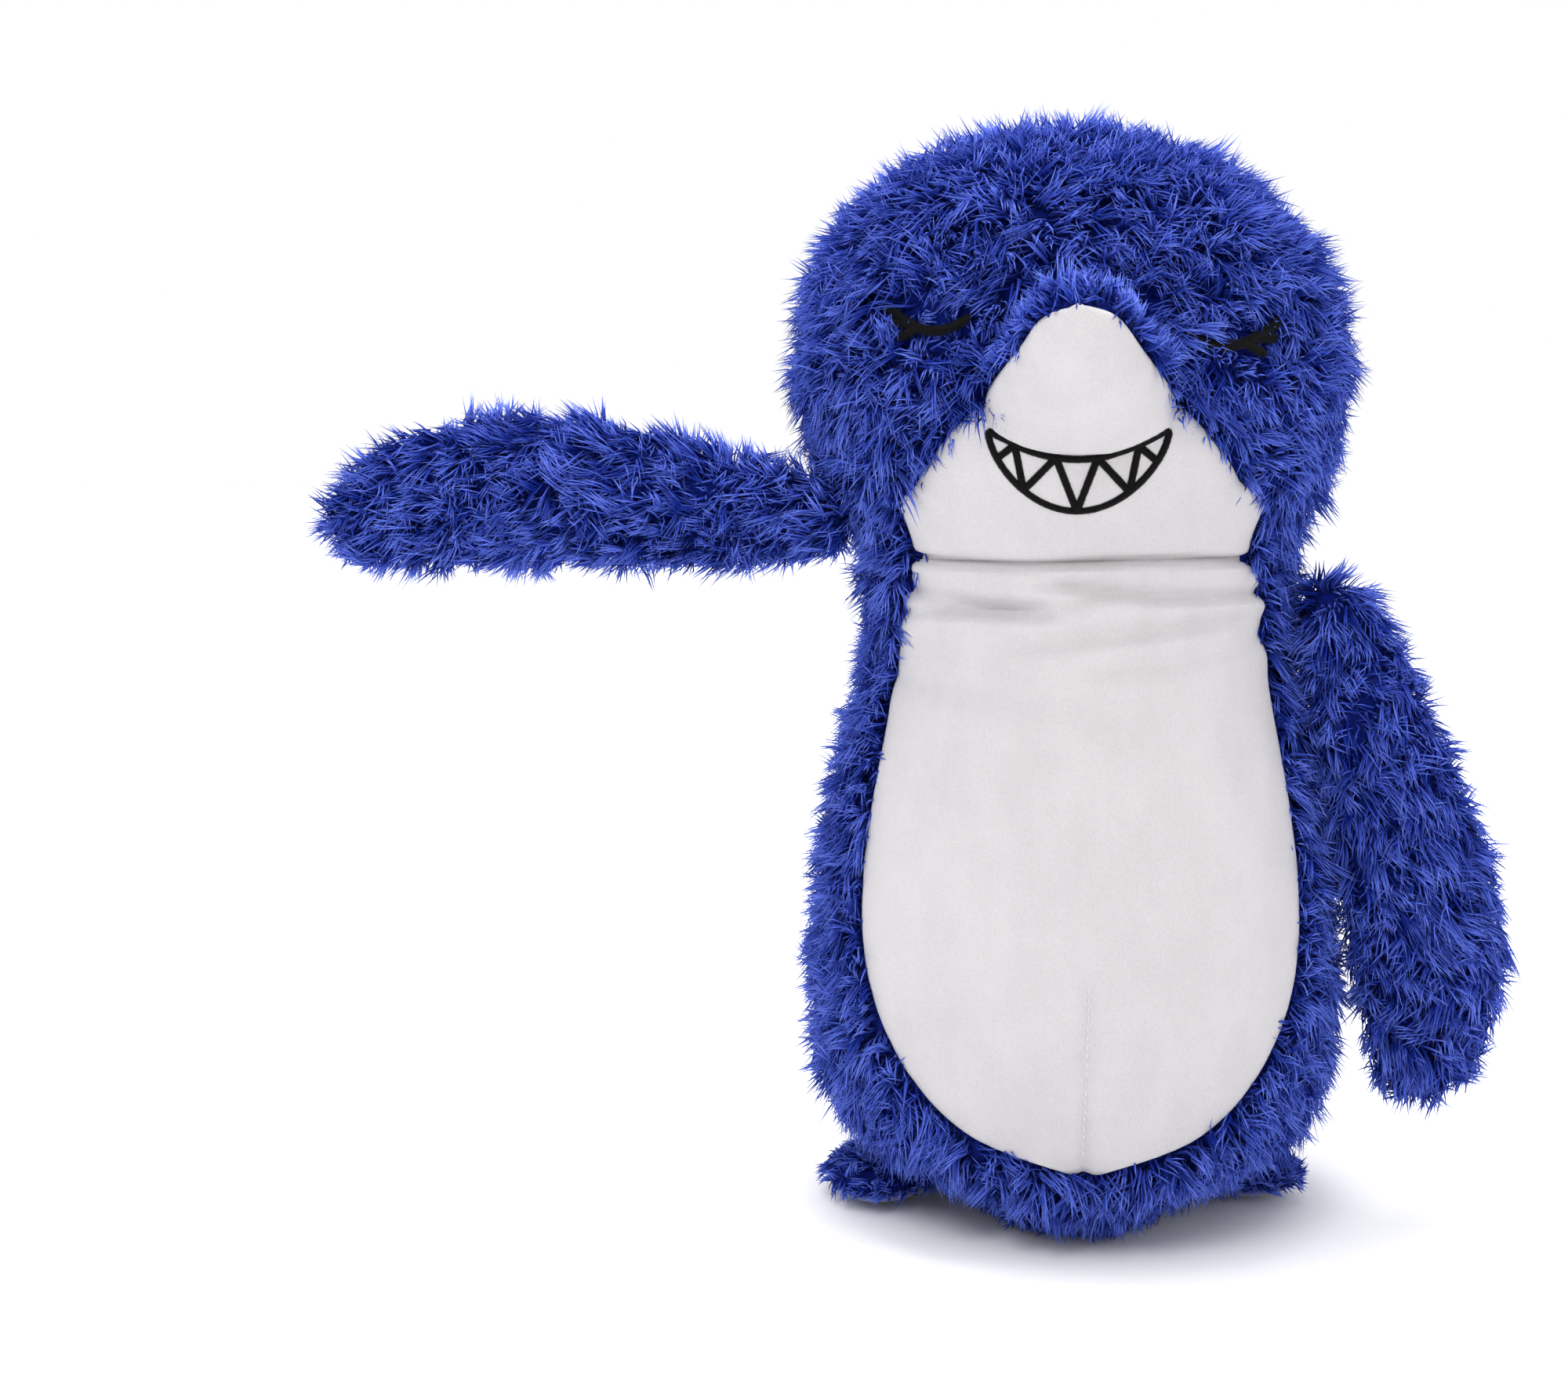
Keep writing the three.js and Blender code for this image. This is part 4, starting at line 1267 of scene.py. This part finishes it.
def running_stitches(name, points, normals, pitch, length, radius, sink=0.0):
    """Short stitches along a line of points."""
    run = np.concatenate([[0], np.cumsum(np.linalg.norm(np.diff(points, axis=0), axis=1))])
    marks = np.arange(pitch, run[-1] - pitch, pitch)
    at = lambda values, places: np.stack([np.interp(places, run, v) for v in values.T], axis=1)
    corners, faces = strand_prototype(6, 1, (-0.3, 0.0, 0.3))
    span = corners[:, 2] * 2
    centre, normal = at(points, marks), unit(at(normals, marks))
    along = unit(at(points, marks + 0.3 * pitch) - at(points, marks - 0.3 * pitch))
    across = np.cross(normal, along)
    arch = radius * (0.9 - 1.6 * span**2) - sink
    body = radius * (1 - 0.4 * span**2)
    vertices = (
        centre[:, None] + along[:, None] * (0.5 * length * span)[None, :, None]
        + normal[:, None] * (arch + body * corners[:, 0])[None, :, None]
        + across[:, None] * (body * corners[:, 1])[None, :, None]
    )
    return stamp(name, vertices, faces)


class SHARK_OT_seams(bpy.types.Operator):
    """Dart stitches on the belly, closing stitches on the back, and the blank label sewn beside them"""

    bl_idname = "shark.seams"
    bl_label = "Seam stitches and label"

    def execute(self, context):
        form = plush()
        belly = tree_of("belly_velour")
        low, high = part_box("belly_dart_stitching")
        heights = np.linspace(low.z + 3 * MM, high.z - 4 * MM, 60)
        hits = []
        for z in heights:
            lean = 0.8 * MM * (z - low.z) / (high.z - low.z)
            point, normal, _, _ = belly.ray_cast(Vector((lean, -REACH, z)), Vector((0, 1, 0)))
            hits.append((np.array(point), np.array(normal)))
        points, normals = (np.array([h[k] for h in hits]) for k in (0, 1))
        dart = running_stitches("belly_dart_stitches", points, normals, 3.2 * MM, 2.3 * MM, 0.3 * MM)
        dress(dart, thread_finish("white_thread", (0.62, 0.61, 0.65), 0.6), "white_thread")
        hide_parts("belly_dart_stitching")
        on_cloth(dart, "torso")
        low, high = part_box("back_closure_stitching")
        rows = np.linspace(row_of(low.z), row_of(high.z), 60)
        points, normals = form.points(rows, 180.0), form.normals(rows, 180.0)
        closure = running_stitches("back_closure_stitches", points, normals, 4 * MM, 3 * MM, 0.45 * MM)
        dress(closure, thread_finish("blue_thread", (0.02, 0.04, 0.26), 0.6), "blue_thread")
        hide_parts("back_closure_stitching")
        on_cloth(closure, "torso")
        self.label()
        return {"FINISHED"}

    @staticmethod
    def label():
        """A ribbon folded in half, with its cut ends in the seam."""
        low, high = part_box("care_label")
        middle = (low + high) / 2
        reach, fold, bend = high.y - low.y, 1.5 * MM, 0.07

        def at(run, across):
            straight = np.abs(run) > bend
            y = np.where(
                straight,
                high.y - fold - (np.abs(run) - bend) * (reach - fold),
                high.y - fold + fold * np.cos(run / bend * math.pi / 2),
            )
            spread = np.sin(np.clip(run / bend, -1, 1) * math.pi / 2) * fold * (0.66 - 0.41 * np.abs(run))
            wave = 1.6 * MM * np.sin(across * 1.4 + 0.6) * (y - low.y) / reach
            height = middle.z + across * (high.z - low.z) / 2 * 0.96
            return np.stack([middle.x + spread + wave, y, height], axis=-1)

        strip = bmesh.new()
        s, c, layer = start_grid(strip, 60, 10, True)
        run, across = 2 * s - 1, 2 * c - 1
        normal = unit(np.cross(at(run + 0.02, across) - at(run - 0.02, across), [0.0, 0.0, 1.0]))
        place(strip, at(run, across) + normal * (0.35 * MM * layer)[:, None])
        ribbon = dress(finish_mesh(strip, "care_label_ribbon"), ribbon_finish(), "ribbon")
        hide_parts("care_label")
        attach(ribbon, "torso")


class SHARK_OT_base(bpy.types.Operator):
    """The short-pile disc that the shark sits on, and its pouch of pellets"""

    bl_idname = "shark.base"
    bl_label = "Base and pouch"

    def execute(self, context):
        low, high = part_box("base_panel")
        size = (high - low) / 2
        middle = (high + low) / 2
        disc = bmesh.new()
        bmesh.ops.create_circle(disc, cap_ends=True, segments=72, radius=1)
        bmesh.ops.inset_region(disc, faces=disc.faces[:], thickness=0.05, depth=0)
        bmesh.ops.inset_region(disc, faces=[f for f in disc.faces if len(f.verts) > 4], thickness=0.3)
        top = bmesh.ops.extrude_face_region(disc, geom=disc.faces[:])
        for vertex in (g for g in top["geom"] if isinstance(g, bmesh.types.BMVert)):
            vertex.co.z = 1
        for vertex in disc.verts:
            rim = 1 if vertex.co.xy.length > 0.97 else 0
            z = low.z + (0.8 * rim + 2.6 * vertex.co.z * (1 - 0.5 * rim)) * MM
            vertex.co = (middle.x + vertex.co.x * size.x, middle.y + vertex.co.y * size.y, z)
        made = dress(finish_mesh(disc, "base_velour"), base_finish(), "blue_base_cloth")
        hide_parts("base_panel")
        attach(made, "torso")
        pouch_low, pouch_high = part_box("pellet_pouch")
        bag = bmesh.new()
        bmesh.ops.create_uvsphere(bag, u_segments=40, v_segments=20, radius=1)
        half = (pouch_high - pouch_low) / 2 * 0.72
        centre = (pouch_high + pouch_low) / 2
        for vertex in bag.verts:
            lump = 1 + 0.03 * noise.noise(vertex.co * 5)
            flat = math.copysign(abs(vertex.co.z) ** 0.7, vertex.co.z)
            vertex.co = (
                centre.x + vertex.co.x * half.x * 0.55 * lump,
                centre.y + vertex.co.y * half.y * lump * 0.8,
                centre.z + 1.5 * MM + flat * half.z * 1.1,
            )
        pouch = Finish("pouch_cotton")
        weave = pouch.noise(1600, 2)
        calico = pouch.mix(weave, (0.55, 0.52, 0.44), (0.74, 0.71, 0.63))
        cotton = pouch.surface(calico, 0.9, weave, 0.2 * MM)
        made = dress(finish_mesh(bag, "pellet_bag"), cotton, "pouch_cloth")
        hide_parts("pellet_pouch")
        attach(made, "torso")
        return {"FINISHED"}


# ---------------------------------------------------------------- fins

FIN_SPINE_PAST_HINGE = 2 * MM
FIN_BEND_PAST_HINGE = 4 * MM


def fin_form(joint, nodes, face, rows):
    """A fin as a form from its hinge to its tip, with its hinge and its direction.

    rows are the rows of each end, the rows between them, and how far short of the tip the spine ends.
    """
    end_rows, spine_rows, short_of_tip = rows
    root = np.array(JOINTS[joint]["pos_m"], float)
    points = np.array([v.co for node in nodes for v in frame["nodes"][node].data.vertices])
    tip = points[np.argmax(np.linalg.norm(points - root, axis=1))]
    along = unit(tip - root)
    low, high = root - along * FIN_SPINE_PAST_HINGE, tip - along * short_of_tip
    form = Form(CadSurface(nodes), low, high, face, end_rows, spine_rows, 56, None, (1.3, 1.5))
    return form, root, along


def make_fin(name, motion, sides, face, rows, pile_length, low_finish, seed, bend_reach):
    """A furry fin: two backing panels, pile and filling."""
    nodes = [f"{name}_{side}_panel" for side in sides]
    form, root, along = fin_form(f"{name}_{motion}", nodes, face, rows)
    start, end = root - along * FIN_BEND_PAST_HINGE, root + along * bend_reach
    pieces = []
    for node, (left, right), finish in (
        (nodes[0], (-90.0, 90.0), low_finish), (nodes[1], (90.0, 270.0), backing_finish()),
    ):
        panel = make_panel(
            node.replace("panel", "backing"), form, (0, form.last),
            lambda t, edge=left: np.full(t.shape, edge), lambda t, edge=right: np.full(t.shape, edge),
            -0.9 * MM, 1.2 * MM, 3 * MM,
        )
        dress(panel, finish, "blue_fur" if finish is backing_finish() else "blue_base_cloth")
        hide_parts(node)
        pieces.append(panel)
    bare_low = low_finish is not backing_finish()
    grows = lambda t, a, roots: (np.abs(a) > 84) if bare_low else np.full(t.shape, True)
    comb = combed(along * 1.1, (0, 0, -0.25))
    pile = Pile(form, (0, form.last), grows, comb, seed, length=pile_length, density=1.1, lift=0.62)
    pieces.append(pile.piece(f"{name}_pile"))
    for piece in pieces:
        tuple(start)
        tuple(end)
        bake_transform(piece)
    make_filling(f"{name}_filling", form, (2, form.last - 2), name, (f"{name}_stuffing",), 4.5 * MM)


class SHARK_OT_flippers(bpy.types.Operator):
    """The raised and the hanging flipper"""

    bl_idname = "shark.flippers"
    bl_label = "Flippers"

    def execute(self, context):
        for seed, name in enumerate(("left_flipper", "right_flipper")):
            make_fin(
                name, "swing", ("front", "back"), (0, -1, 0), (10, 40, 16 * MM), 0.86,
                backing_finish(), 51 + seed, 16 * MM,
            )
        return {"FINISHED"}


class SHARK_OT_flukes(bpy.types.Operator):
    """The two halves of the tail fin, flat on the floor"""

    bl_idname = "shark.flukes"
    bl_label = "Tail flukes"

    def execute(self, context):
        for seed, name in enumerate(("left_fluke", "right_fluke")):
            make_fin(
                name, "sweep", ("bottom", "top"), (0, 0, -1), (8, 10, 14 * MM), 0.4,
                base_finish(), 61 + seed, 8 * MM,
            )
        return {"FINISHED"}


class SHARK_OT_dorsal_fin(bpy.types.Operator):
    """The fin on the back"""

    bl_idname = "shark.dorsal_fin"
    bl_label = "Dorsal fin"

    def execute(self, context):
        make_fin(
            "dorsal_fin", "flop", ("left", "right"), (-1, 0, 0), (10, 14, 16 * MM), 0.62,
            backing_finish(), 71, 10 * MM,
        )
        return {"FINISHED"}


# ---------------------------------------------------------------- stage


def soft_light(name, place_at, aim, size, power):
    lamp = bpy.data.lights.new(name, "AREA")
    lamp.shape = "DISK"
    lamp.size = size
    lamp.energy = power
    made = bpy.data.objects.new(name, lamp)
    made.location = place_at
    made.rotation_euler = (Vector(aim) - Vector(place_at)).to_track_quat("-Z", "Y").to_euler()
    bpy.context.scene.collection.objects.link(made)


class SHARK_OT_stage(bpy.types.Operator):
    """Pale floor, soft light and the camera"""

    bl_idname = "shark.stage"
    bl_label = "Stage"

    def execute(self, context):
        look = context.scene.shark_stage
        scene = context.scene
        scene.view_settings.view_transform = "Standard"
        sheet = bmesh.new()
        bmesh.ops.create_grid(sheet, x_segments=2, y_segments=2, size=30)
        floor = finish_mesh(sheet, "floor")
        paper = Finish("pale_paper", Roughness=0.9, Specular_IOR_Level=0.1)
        grain = paper.noise(300, 2)
        low = tuple(0.99 * c for c in look.floor)
        floor.data.materials.append(paper.surface(paper.mix(grain, low, tuple(look.floor))))
        scene.world = bpy.data.worlds.new("studio")
        room = Nodes(scene.world)
        way = room.node("ShaderNodeTexCoord").outputs["Generated"]
        parts = room.node("ShaderNodeSeparateXYZ", None, {0: way}).outputs
        to_back, up = Value(room, parts[1]), Value(room, parts[2])
        backdrop = look.dim + (1 - look.dim) * to_back.above(-0.9, 0.2)
        sky = room.nodes["Background"]
        sky.inputs["Color"].default_value = (1, 1, 1, 1)
        room.feed(sky.inputs["Strength"], backdrop + 0.8 * up.above(0.45, 0.95))
        middle = (0, 0, 0.2)
        soft_light("key", (-0.5, -1.3, 1.6), middle, 0.9, 13)
        soft_light("fill", (1.4, -1.2, 0.9), middle, 1.2, 3)
        soft_light("top", (-0.1, 0.1, 1.7), middle, 0.8, 16)
        lens = bpy.data.cameras.new("camera")
        lens.lens = look.lens
        lens.sensor_width = 36
        camera = bpy.data.objects.new("camera", lens)
        camera.location = look.stand
        camera.rotation_euler = (math.pi / 2 - look.dip, 0, look.heading)
        scene.collection.objects.link(camera)
        scene.camera = camera
        return {"FINISHED"}


# ---------------------------------------------------------------- add-on


SETTINGS = {
    "shark_pile": PileSettings,
    "shark_velour": VelourSettings,
    "shark_thread": ThreadSettings,
    "shark_stage": StageSettings,
}
STEPS = (
    SHARK_OT_stage,
    SHARK_OT_plush_fur,
    SHARK_OT_velour,
    SHARK_OT_snout,
    SHARK_OT_embroidery,
    SHARK_OT_seams,
    SHARK_OT_base,
    SHARK_OT_flippers,
    SHARK_OT_flukes,
    SHARK_OT_dorsal_fin,
)


class SHARK_PT_panel(bpy.types.Panel):
    """Lists the shark's settings and its making steps"""

    bl_label = "Plush Shark"
    bl_space_type = "VIEW_3D"
    bl_region_type = "UI"
    bl_category = "Plush Shark"

    def draw(self, context):
        for name in SETTINGS:
            settings = getattr(context.scene, name)
            for key in settings.bl_rna.properties.keys()[2:]:
                self.layout.prop(settings, key)
        for step in STEPS:
            self.layout.operator(step.bl_idname)


def register():
    for made in (*SETTINGS.values(), *STEPS, SHARK_PT_panel):
        bpy.utils.register_class(made)
    for name, settings in SETTINGS.items():
        setattr(bpy.types.Scene, name, PointerProperty(type=settings))


def unregister():
    for name in SETTINGS:
        delattr(bpy.types.Scene, name)
    for made in reversed((*SETTINGS.values(), *STEPS, SHARK_PT_panel)):
        bpy.utils.unregister_class(made)


def main():
    register()
    for step in STEPS:
        group, name = step.bl_idname.split(".")
        getattr(getattr(bpy.ops, group), name)()


if __name__ == "__main__":
    main()
